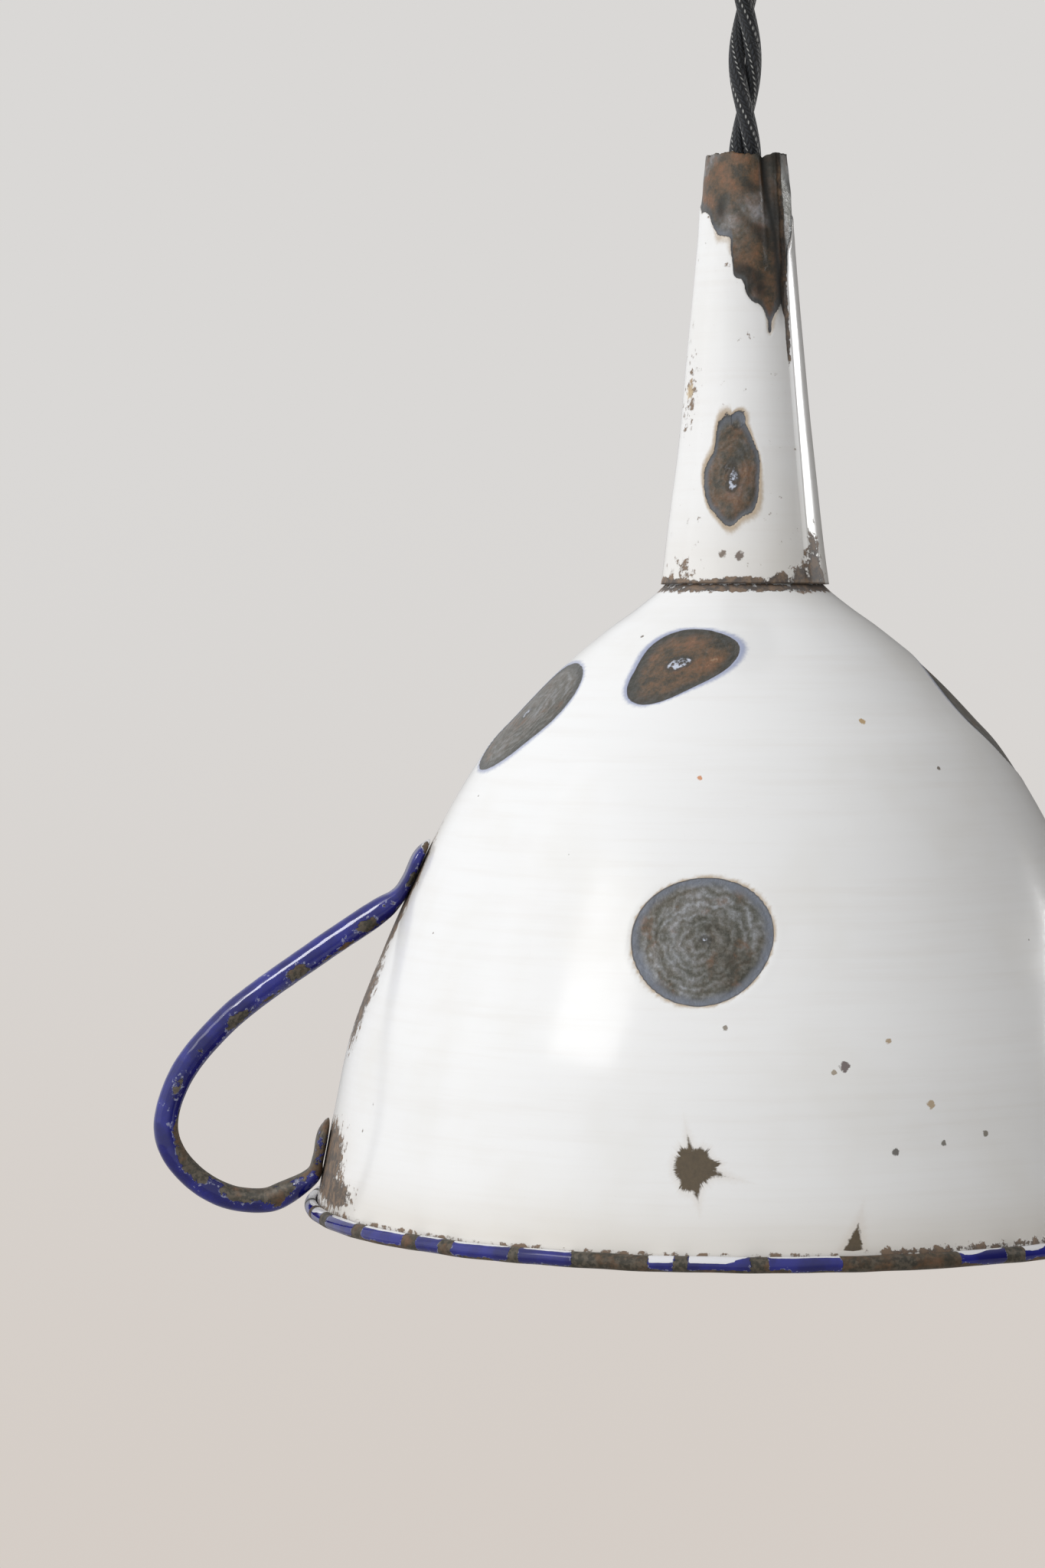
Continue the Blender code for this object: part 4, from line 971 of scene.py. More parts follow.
@dataclass(frozen=True)
class Braid(Finish):
    """Black textile braid with pale threads, on a chart of (turns round a strand, metres along it)."""

    slot: str = "flex_braid"
    ribs: int = 12
    stitch: float = 0.0011

    def dress(self, graph: Graph, shader: bpy.types.Node) -> None:
        """Cut the chart into slanting stitches, column by column, each a small rounded thread whose black is painted
        darker down in the grooves between stitches, as painted shade.
        """
        round_share, along, _ = graph.parts(graph.chart())
        column = graph.times(round_share, float(self.ribs))
        number = graph.math("FLOOR", column)
        across = graph.math("FRACT", column)
        odd = graph.math("MODULO", number, 2.0)
        lean = graph.times(graph.weighed(odd, 2.0, -1.0), graph.plus(across, -0.5))
        run = graph.weighed(along, 1 / self.stitch, graph.times(lean, 0.9))
        run = graph.weighed(odd, 0.5, run)
        phase = graph.math("FRACT", run)
        bow = graph.math("SINE", graph.times(phase, math.pi))
        side = graph.math("SINE", graph.times(across, math.pi))
        thread = graph.times(bow, side)
        picked = graph.step(graph.math("MODULO", number, 3.0), 1.6, 1.9)
        fuzz = graph.noise(graph.object_place(), 5200.0, 3.0, 0.7)
        tip = graph.times(graph.step(thread, 0.62, 0.92), picked)
        # Painted shade: the black is near-black down in the grooves between stitches and lighter on each thread's
        # crown.
        black = graph.mix(graph.step(thread, 0.15, 0.75), srgb(5, 6, 8), srgb(34, 38, 44))
        black = graph.mix(graph.step(fuzz, 0.55, 0.8), black, srgb(60, 66, 72))
        graph.feed(shader.inputs["Base Color"], graph.mix(tip, black, srgb(170, 170, 166)))
        graph.feed(shader.inputs["Roughness"], graph.blend(tip, 0.62, 0.75))
        shader.inputs["Sheen Weight"].default_value = 0.12
        shader.inputs["Sheen Roughness"].default_value = 0.5
        height = graph.weighed(fuzz, 0.25, thread)
        graph.feed(shader.inputs["Normal"], graph.bump(height, 0.16 * MM))


WHITE = WhiteEnamel()
BLUE = BlueEnamel()
BRAID = Braid()
BRASS = Metal("brass", srgb(206, 172, 104), srgb(140, 110, 62), 0.26)
ZINC = Metal("zinc_steel", srgb(196, 198, 202), srgb(146, 146, 146), 0.34)
WIRE = Metal("steel_wire", srgb(150, 146, 140), srgb(96, 78, 60), 0.5)
CAP_METAL = Metal("bulb_cap_metal", srgb(212, 210, 204), srgb(170, 166, 158), 0.28)
SOLDER = Metal("solder", srgb(176, 176, 178), srgb(120, 120, 124), 0.45)
FILAMENT = Metal("filament", srgb(206, 164, 96), srgb(160, 120, 64), 0.4)
BAKELITE = Moulded("black_bakelite", srgb(26, 24, 23), srgb(40, 34, 30), 0.22, 0.015)
PORCELAIN = Moulded("porcelain", srgb(232, 228, 218), srgb(214, 206, 190), 0.16, 0.02)
BROWN_CORE = Moulded("brown_core", srgb(104, 62, 38), srgb(86, 52, 34), 0.5, 0.03)
BLUE_CORE = Moulded("blue_core", srgb(44, 84, 150), srgb(38, 70, 124), 0.5, 0.03)
BLACK_GLASS = Moulded("black_glass", srgb(22, 20, 26), srgb(34, 30, 38), 0.12, 0.02)
BULB_GLASS = Glass("bulb_glass")


# The enamelled funnel


@dataclass(frozen=True)
class Spot:
    """A chip in the enamel: its place, its size along the surface in millimetres, its outline and its look."""

    angle: float
    height: float
    half_wide: float
    half_tall: float
    tilt: float = 0.0
    tone: float = 0.0
    halo: float = 1.6
    rim: float = 0.0
    # The radius in mm of the painted glint, a pale highlight, in its middle.
    flake: float = 0.0
    lobes: tuple[tuple[float, float], ...] = ()

    @property
    def size(self) -> float:
        """Its middle radius in millimetres."""
        return math.sqrt(self.half_wide * self.half_tall)

    def measure(self, across: Array, down: Array) -> tuple[Array, Array]:
        """How far points are from the chip.

        The outline is an ellipse whose radius is multiplied by 1 + the sum of size cos(k turn + phase) over its lobes.

        Args:
            across, down: millimetres from the chip's middle along the surface, to the right and downwards.

        Returns:
            Millimetres to its edge, negative inside, and millimetres from its middle.
        """
        lean = math.radians(self.tilt)
        u = (across * math.cos(lean) + down * math.sin(lean)) / self.half_wide
        v = (down * math.cos(lean) - across * math.sin(lean)) / self.half_tall
        reach = np.hypot(u, v)
        turn = np.arctan2(v, u)
        edge = np.ones_like(reach)
        for k, (size, phase) in enumerate(self.lobes, start=1):
            edge += size * np.cos(k * turn + math.radians(phase))
        return (reach / edge - 1) * self.size, reach * self.size


BOWL_SPOTS = (
    Spot(-118.2, -0.1752, 11.0, 8.9, -40.0, 0.95, 1.7, 0.0, 1.9, ((0.03, 0.0), (0.05, 60.0), (0.09, 250.0))),
    Spot(-169.5, -0.1850, 14.0, 14.0, 0.0, 0.18, 1.8, 0.0, 0.9, ((0.02, 0.0), (0.03, 40.0))),
    Spot(-6.0, -0.1850, 15.0, 16.0, 0.0, 0.20, 1.8, 0.0, 0.8, ((0.02, 0.0), (0.05, 90.0), (0.04, 200.0))),
    Spot(-103.2, -0.2248, 13.0, 12.2, 0.0, 0.12, -0.7, 1.0, 0.0, ((0.02, 170.0), (0.015, 100.0), (0.015, 100.0))),
    Spot(82.0, -0.1800, 12.0, 9.5, 20.0, 0.9, 2.2, 0.0, 0.9, ((0.05, 10.0), (0.06, 90.0), (0.07, 130.0))),
    Spot(28.0, -0.2290, 9.5, 11.0, 15.0, 0.15, -0.8, 1.0, 0.0, ((0.03, 0.0), (0.06, 30.0), (0.05, 280.0))),
    Spot(122.0, -0.2330, 13.5, 12.0, 10.0, 0.2, 1.4, 0.7, 0.0, ((0.03, 60.0), (0.05, 0.0), (0.04, 150.0))),
    Spot(64.0, -0.2650, 3.6, 4.2, 0.0, 0.9, -0.8, 0.0, 0.0, ((0.10, 0.0), (0.12, 30.0), (0.10, 70.0))),
)
SPOUT_SPOTS = (
    Spot(
        -107.0, -0.1390, 5.5, 10.0, 0.0, 0.68, -1.7, 0.55, 1.5,
        ((0.03, 90.0), (0.03, 150.0), (0.07, 270.0), (0.04, 30.0), (0.04, 200.0), (0.0, 0.0), (0.03, 100.0)),
    ),
    Spot(-104.5, -0.1297, 1.6, 2.8, 10.0, 0.20, -1.2, 0.90, 0.0, ((0.10, 90.0), (0.08, 40.0))),
    Spot(68.0, -0.1320, 4.8, 7.5, 12.0, 0.6, -1.2, 0.6, 0.0, ((0.05, 30.0), (0.06, 90.0))),
)
# The lower edge of the spout's bare tip: (angle, height).
BARE_EDGE = (
    (-187.0, -0.0868), (-146.0, -0.0898), (-131.0, -0.0930), (-120.0, -0.0945), (-112.0, -0.0950),
    (-109.0, -0.0998), (-105.0, -0.1014), (-96.0, -0.1032), (-86.0, -0.1056), (-76.0, -0.1078),
    (-69.0, -0.1090), (-63.0, -0.1074), (-54.0, -0.1066), (-50.0, -0.1080), (-46.0, -0.0985),
    (-42.0, -0.0940), (-20.0, -0.0905), (30.0, -0.0870), (75.0, -0.0925), (120.0, -0.0860),
    (173.0, -0.0877),
)


@dataclass
class Funnel:
    """The bowl with its curled rim and the lapped spout, both of enamelled sheet steel.

    The sheet is 0.7 mm thick. The bowl's outline is shares of its flare and depth, and the spout's is shares
    of its taper and length.
    """

    sheet: float = 0.0007
    gap: float = 0.0003
    bead: float = 0.00145
    collar_height: float = 0.006
    neck_radius: float = 0.0162
    tip_radius: float = 0.0078
    wall_rows: int = 172
    seam_start: float = -47.0
    crease_angle: float = -67.0
    curl_turn: float = math.radians(305)
    bowl_outline: tuple[tuple[float, float], ...] = (
        (0.000, 0.008), (0.031, 0.023), (0.080, 0.044), (0.139, 0.067), (0.197, 0.092), (0.251, 0.117),
        (0.342, 0.165), (0.426, 0.215), (0.503, 0.264), (0.604, 0.354), (0.697, 0.455), (0.808, 0.595),
        (0.898, 0.727), (0.947, 0.851), (1.000, 1.000),
    )
    spout_outline: tuple[tuple[float, float], ...] = (
        (0.000, 0.000), (0.130, 0.100), (0.335, 0.280), (0.512, 0.460), (0.690, 0.640), (0.833, 0.818),
        (0.905, 0.908), (1.000, 1.000),
    )
    neck: float = field(init=False)
    spout_top: float = field(init=False)
    rim_radius: float = field(init=False)
    rim_low: float = field(init=False)

    def __post_init__(self) -> None:
        """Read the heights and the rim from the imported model."""
        low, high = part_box("spout_tube")
        self.neck, self.spout_top = low.z, high.z
        low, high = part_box("bowl_shell")
        self.rim_radius, self.rim_low = high.x, low.z

    def wall_middle(self) -> tuple[Array, Array]:
        """The line down the middle of the bowl's sheet.

        Returns:
            Its (radius, height) rows, and which rows are on the curl.
        """
        half = self.sheet / 2
        middle = self.rim_radius - self.bead
        bottom = self.rim_radius - 2 * self.bead + self.sheet
        depth = self.neck - self.rim_low - self.bead
        collar = self.neck_radius - 0.0006 - self.sheet - self.gap - half
        top = [(collar, self.neck + self.collar_height), (collar, self.neck + 0.0012)]
        flare = np.asarray(self.bowl_outline)
        radius = self.neck_radius + flare[:, 0] * (bottom - self.neck_radius) - half
        wall = np.stack([radius, self.neck - flare[:, 1] * depth], axis=1)
        wall = through([*top, *wall], self.wall_rows)
        turn = math.pi + self.curl_turn * np.linspace(0, 1, 27)[1:]
        reach = self.bead - half
        curl = np.stack([middle + reach * np.cos(turn), self.neck - depth + reach * np.sin(turn)], axis=1)
        return np.vstack([wall, curl]), np.arange(len(wall) + len(curl)) >= len(wall)

    def spot_fields(
        self, spots: Sequence[Spot], angles: Array, radius: Array, height: Array, run: Array
    ) -> dict[str, Array]:
        """The fields of the nearest chip, over a grid: chip, ring, tone, rim, flake (a painted highlight) and halo.

        Args:
            spots: the chips.
            angles: the columns' angles in degrees.
            radius, height, run: each row's radius, height and distance along the profile.

        Returns:
            The fields, as rows by columns.
        """
        chip = np.full((len(radius), len(angles)), FAR)
        fields = {title: np.zeros_like(chip) for title in ("ring", "tone", "rim")}
        fields |= {"flake": np.full_like(chip, NO_PAINTED_GLINT), "halo": np.zeros_like(chip)}
        order = np.argsort(height)
        for spot in spots:
            across = np.radians(turn_apart(angles, spot.angle))[None, :] * radius[:, None] / MM
            down = (run - np.interp(spot.height, height[order], run[order]))[:, None] / MM
            edge, from_middle = spot.measure(across, down + 0 * across)
            # The bands inside a chip are narrower in a small one, and in a grey one.
            least = 1.3 if spot.tone > 0.5 else 1.8
            narrow = max(least, min(2.6, (10.3 / spot.size) ** 3))
            edge = np.where(edge < 0, edge * narrow, edge)
            uneven = 1 + 0.45 * np.sin(np.arctan2(down, across) * 2 + spot.angle) * np.ones_like(edge)
            halo = math.copysign(1.0, spot.halo) * (1 - ease(0.0, abs(spot.halo) * uneven, edge))
            nearer = edge < chip
            own = {"ring": from_middle, "tone": spot.tone, "rim": spot.rim}
            own |= {"flake": spot.flake - from_middle, "halo": halo}
            for title, values in own.items():
                fields[title] = np.where(nearer, values, fields[title])
            chip = np.where(nearer, edge, chip)
        return {"chip": chip, **fields}

    def relief(self, chip: Array) -> Array:
        """How far the surface stands out over a chip: sunk 0.2 mm inside, with a low lip round it."""
        return (-0.20 * ease(0.5, -0.7, chip) + 0.04 * hump(chip, 1.0, 0.8)) * MM

    def bowl_stain(self, angles: Array, height: Array, radius: Array) -> tuple[Array, Array]:
        """Where the bowl is stained brown, and where its enamel has yellowed.

        Args:
            angles: the columns' angles in degrees.
            height, radius: each row's height and radius.

        Returns:
            The stain and the shade, from 0 to 1, as rows by columns.
        """
        turn = turn_apart(angles, 180.0)[None, :]
        arc = np.radians(turn) * radius[:, None] / MM
        z = height[:, None] / MM
        upper = 1.1 * hump(arc, 0.0, 7.0) * hump(z, -222.0, 14.0)
        between = 0.82 * hump(arc, 2.0, 9.5) * hump(z, -241.0, 13.0)
        corner = 1.02 * hump(arc, 18.0, 13.0) * hump(z, -276.0, 3.4)
        lower = np.maximum(1.15 * hump(arc, 7.0, 14.0) * hump(z, -271.0, 8.0), corner)
        above_rim = (z - self.rim_low / MM) - 2.8
        along_rim = hump(above_rim, 0.0, 0.8) * 0.62 * np.ones_like(arc)
        to_right = ease(-86.0, -78.0, angles)[None, :] * (1 - ease(-50.0, -20.0, angles))[None, :]
        along_rim = np.maximum(along_rim, hump(above_rim, 0.0, 2.0) * 0.62 * to_right)
        under_neck = 0.8 * hump(z, self.neck / MM - 0.8, 1.1)
        stain = most(upper, between, lower, along_rim, under_neck)
        grime = most(0.55 * hump(above_rim, 0.0, 7.0), 0.8 * upper, 0.8 * lower)
        return np.clip(stain, 0, 1.2), np.clip(grime * 0.6, 0, 1)

    def bowl(self) -> bpy.types.Object:
        """The bell: the sheet's middle line carried round, thickened along its normals, chipped on the outside."""
        line, curled = self.wall_middle()
        slope = np.gradient(line, axis=0)
        slope /= np.linalg.norm(slope, axis=1)[:, None]
        normal = np.stack([-slope[:, 1], slope[:, 0]], axis=1)
        turn = np.linspace(0, 2 * math.pi, 384, endpoint=False)
        angles = math.radians(FRONT) + turn - 0.28 * np.sin(turn)
        degrees = np.degrees(angles)

        outer = line + normal * self.sheet / 2
        run = np.concatenate([[0.0], np.cumsum(np.linalg.norm(np.diff(outer, axis=0), axis=1))])
        fields = self.spot_fields(BOWL_SPOTS, degrees, outer[:, 0], outer[:, 1], run)
        fields["chip"][curled] = FAR
        stain, shade = self.bowl_stain(degrees, outer[:, 1], outer[:, 0])
        outside = spun_at(outer, angles)
        dent = ripple(outside, 0.075, 11) * 0.10 * MM + ripple(outside, 0.022, 12) * 0.02 * MM
        fade = ease(0.004, 0.02, run)[:, None] * (~curled)[:, None]
        lift = (self.relief(fields["chip"]) + dent) * fade
        outside[..., 0] += lift * normal[:, 0, None] * np.cos(angles)
        outside[..., 1] += lift * normal[:, 0, None] * np.sin(angles)
        outside[..., 2] += lift * normal[:, 1, None]

        kept = np.concatenate([np.arange(0, self.wall_rows, 5), np.flatnonzero(curled)])
        inner = (line - normal * self.sheet / 2)[kept][::-1]
        inner_curled = curled[kept][::-1]
        inside = spun_at(inner, angles)
        wobble = ripple(np.stack([np.cos(angles) * 9, np.sin(angles) * 9, 0 * angles], axis=-1), 1.0, 5)
        inside[inner_curled, :, 2] += (wobble * 0.06 * MM)[None, :]
        chips_in = self.spot_fields(BOWL_SPOTS[4:8], degrees + 40, inner[:, 0], inner[:, 1], inner[:, 1])
        rim = hump(inner[:, 1, None] / MM, self.rim_low / MM + 2.5, 2.5) * (0.7 + 0.2 * wobble[None, :])
        rim = np.maximum(rim, 0.6 * hump(inner[:, 1, None] / MM, self.neck / MM - 2, 5.0))
        fields = {title: np.vstack([values, chips_in[title]]) for title, values in fields.items()}
        fields["stain"] = np.vstack([stain, rim + 0 * chips_in["chip"]])
        fields["shade"] = np.vstack([shade, 0.12 + 0 * chips_in["chip"]])
        fields["crease"] = np.zeros_like(fields["chip"])
        fields["rag"] = np.zeros_like(fields["chip"])
        heights = np.concatenate([outer[:, 1], inner[:, 1]])
        fields["wear"], fields["white"] = self.bead_wear(degrees, (heights - self.rim_low) / (2 * self.bead))
        finish = np.concatenate([curled, inner_curled]).astype(int)
        skin = Skin(np.vstack([outside, inside]), closed_rows=True, fields=fields, finish_of_rows=finish)
        piece = make_piece("funnel_bowl", [skin], [WHITE, BLUE])
        return settle(piece, Body.PENDANT, "bowl_shell")

    def bead_wear(self, degrees: Array, share: Array) -> tuple[Array, Array]:
        """How worn the rim's blue is, and how far the white laps over it.

        Worn bands of random widths cross the bead, with a wide one right of the front and a short one left of it,
        and its underside is worn.

        Args:
            degrees: the columns' angles.
            share: each row's height, from 0 at the rim's lowest to 1 at the bead's top.

        Returns:
            The wear and the white, as rows by columns.
        """
        random = np.random.default_rng(77)
        bands = np.zeros_like(degrees)
        place = 0.0
        while place < 355.0:
            wide = random.uniform(0.7, 1.9)
            bands = np.maximum(bands, 1 - ease(wide * 0.6, wide * 0.6 + 0.9, np.abs(turn_apart(degrees, place))))
            place += wide + random.uniform(3.0, 11.0)
        bands = np.maximum(bands, 0.80 * (1 - ease(6.0, 8.0, np.abs(turn_apart(degrees, -77.0)))))
        bands = np.maximum(bands, 0.95 * (1 - ease(1.6, 3.0, np.abs(turn_apart(degrees, -113.0)))))
        around = np.stack([np.cos(np.radians(degrees)), np.sin(np.radians(degrees)), 0 * degrees], axis=-1)
        uneven = ripple(around * self.rim_radius, 0.009, 78)
        under = 0.50 * ease(0.42, 0.05, share)[:, None] * (1 + 0.35 * uneven)[None, :]
        wear = 0.12 + most(0.85 * bands[None, :], under)
        lap = ease(0.2, 1.0, ripple(around * self.rim_radius, 0.016, 79)) * 0.32
        white = ease(0.88 - lap[None, :], 1.02 - lap[None, :], share[:, None])
        return wear, white * (1 - 0.8 * bands)[None, :]

    def spout(self) -> bpy.types.Object:
        """The rolled cone: lapped from the seam on, creased and torn at its bare tip, chipped in front."""
        shares = np.asarray(self.spout_outline)
        length = self.spout_top - self.neck
        radius = self.neck_radius + shares[:, 0] * (self.tip_radius - self.neck_radius)
        outer = through(np.stack([radius, self.neck + shares[:, 1] * length], axis=1), 210)[::-1]
        turn = np.linspace(0, 2 * math.pi, 300, endpoint=False)
        degrees = np.degrees(turn)
        run = np.concatenate([[0.0], np.cumsum(np.linalg.norm(np.diff(outer, axis=0), axis=1))])
        fields = self.spot_fields(SPOUT_SPOTS, degrees, outer[:, 0], outer[:, 1], run)
        fields |= self.tip_fields(degrees, outer, fields)

        seam = turn_apart(degrees, self.seam_start)
        lap = ease(-1.2, 0.6, seam) * (1 - ease(24.0, 42.0, seam))
        z = outer[:, 1, None]
        crease = turn_apart(degrees, self.crease_angle)[None, :]
        tip_share = ease(-0.1085, -0.0800, z)
        fold = -0.9 * hump(crease, 0.0, 7.0) * tip_share
        pinch = fold + 0.35 * ease(2.0, 12.0, crease) * hump(crease, 12, 16) * tip_share
        grid = spun_at(outer, turn)
        dents = ripple(grid, 0.03, 31) * 0.12 + ripple(grid, 0.006, 32) * 0.10 * ease(-0.100, -0.085, z)
        lift = (lap[None, :] * 0.62 + pinch + dents) * MM + self.relief(fields["chip"])
        ragged = self.ragged_tip(degrees)
        near_top = ease(self.spout_top - 0.012, self.spout_top, z)
        outside = self.placed(outer, turn, lift, -ragged[None, :] * near_top)

        thinned = slice(None, None, 7)
        inner_lift = lift[thinned] - self.sheet
        inside = self.placed(outer[thinned], turn, inner_lift, -ragged[None, :] * near_top[thinned])[::-1]
        inner_fields = {title: values[thinned][::-1] for title, values in fields.items()}
        inner_fields["stain"] = inner_fields["stain"] * 0 + 0.62
        fields = {title: np.vstack([values, inner_fields[title]]) for title, values in fields.items()}
        skin = Skin(np.vstack([outside, inside]), closed_rows=True, fields=fields)
        return settle(make_piece("funnel_spout", [skin], [WHITE]), Body.PENDANT, "spout_tube")

    def placed(self, outline: Array, turn: Array, lift: Array, rise: Array) -> Array:
        """Carry an outline round Z, with each point's radius and height changed by a lift and a rise."""
        radius = outline[:, 0, None] + lift
        height = outline[:, 1, None] + rise + 0 * lift
        return np.stack([radius * np.cos(turn), radius * np.sin(turn), height], axis=-1)

    def ragged_tip(self, degrees: Array) -> Array:
        """How far the spout's torn edge falls short of its full height, in metres, round the spout."""
        places = np.stack([np.cos(np.radians(degrees)), np.sin(np.radians(degrees)), 0 * degrees], axis=-1)
        rough = 0.5 + 0.5 * ripple(places, 0.55, 41)
        fine = 0.5 + 0.5 * ripple(places, 0.16, 42)
        notch = hump(turn_apart(degrees, -66.0), 0.0, 5.0) + 0.7 * hump(turn_apart(degrees, -162.0), 0.0, 7.0)
        return (0.45 * rough + 0.35 * fine + 0.7 * notch) * MM

    def tip_fields(self, degrees: Array, outer: Array, fields: dict[str, Array]) -> dict[str, Array]:
        """The spout's fields with its bare tip, its junction rust and its crease, which is painted shade along the
        fold with dark patches on the bare steel.

        Args:
            degrees: the columns' angles.
            outer: the (radius, height) rows.
            fields: the chips' fields.

        Returns:
            The changed and added fields.
        """
        edge = np.asarray(BARE_EDGE)
        wrapped = (degrees + 187.0) % 360 - 187.0
        boundary = np.interp(wrapped, edge[:, 0], edge[:, 1])
        places = spun_at(outer, np.radians(degrees))
        ragged = ripple(places, 0.006, 51) * 0.9
        bare = (boundary[None, :] - outer[:, 1, None]) / MM * 0.8 + ragged
        bare = np.where(bare < 0, bare * 2.2, bare)
        chip = np.minimum(fields["chip"], bare)
        is_tip = bare < fields["chip"]
        height = outer[:, 1, None] / MM
        from_left, from_front, from_patch, from_crease, from_seam, from_right = (
            turn_apart(degrees, place)[None, :]
            for place in (-145.0, -112.0, -82.0, self.crease_angle, self.seam_start, 0.0)
        )
        patches = ease(-0.5, 0.4, ripple(places, 0.012, 52))
        steel = 0.75 * hump(from_front, -8.0, 26.0) * hump(height, -91.5, 5.0)
        steel = np.maximum(steel, 0.9 * ease(0.0, 5.0, from_seam) * (1 - ease(60.0, 80.0, from_seam)))
        tone = np.where(is_tip, np.clip(0.45 + 0.55 * patches - steel, 0, 1), fields["tone"])
        ring = np.where(is_tip, 0.0, fields["ring"])
        flake = np.where(is_tip, NO_PAINTED_GLINT, fields["flake"])
        shells = hump(from_front, -14.0, 17.0) * hump(height, -93.5, 3.2)
        shells = shells + hump(from_crease, 1.0, 9.0) * hump(height, -109.5, 2.0)
        halo = np.where(is_tip, -(0.45 + 0.3 * shells) * (1 - ease(0.0, 0.7 + 1.8 * shells, bare)), fields["halo"])
        rim = np.where(is_tip, 0.20 + 0.6 * shells, fields["rim"])
        right = ease(-100.0, -60.0, from_right) * (1 - ease(20.0, 60.0, from_right))
        up = height - self.neck / MM
        ring_noise = ripple(places, 0.007, 53)
        reach = 1.3 + 3.0 * right
        junction = hump(up, 0.0, reach) * (0.84 + 0.42 * ring_noise) * 1.12
        seam_rust = 0.80 * hump(from_seam, 6.0, 14.0) * hump(up, 0.0, 14.0)
        spatter = 0.52 * hump(from_left, 0.0, 22.0) * hump(up, 2.5, 4.5)
        crack = 1.1 * hump(from_seam, -1.5, 2.0) * ease(-124.0, -112.0, height)
        left = 0.46 * hump(from_left, -15.0, 26.0) * hump(height, -123.0, 16.0)
        everywhere = 0.23 * np.ones_like(bare)
        stain = most(junction, seam_rust, spatter, crack, left, everywhere)
        # The crease field: painted shade along the tip's fold and just below its top, with dark patches and a black
        # blotch on the bare steel.
        top = ease(-0.1045, -0.0985, outer[:, 1, None])
        slant = 13.0 * ease(self.spout_top * 1000, -104.0, height)
        crease = most(
            0.97 * hump(from_crease, slant, 7.0) * ease(-112.0, -104.0, height),
            0.85 * hump(from_crease, slant + 4.0, 13.0) * hump(height, -89.0, 7.0),
            0.72 * ease(0.25, 0.95, ripple(places, 0.010, 54)) * ease(-0.8, -3.0, bare),
            0.9 * hump(from_patch, 2.0, 9.0) * hump(height, -103.0, 2.2),
            0.8 * hump(from_front, -18.0, 10.0) * hump(height, -88.0, 2.4),
            0.55 * hump(from_crease, slant + 3.0, 13.0) * top,
        )
        shade = 0.20 * hump(up, 0.0, 12.0) + 0.16 * left + 0 * bare
        fields = {"chip": chip, "tone": tone, "ring": ring, "flake": flake, "halo": halo, "rim": rim}
        rag = np.where(is_tip | (chip > 6), 0.75, 1.0)
        return fields | {"stain": stain, "crease": crease, "shade": shade, "rag": rag}

    def build(self) -> None:
        """Make the bowl and the spout."""
        self.bowl()
        self.spout()


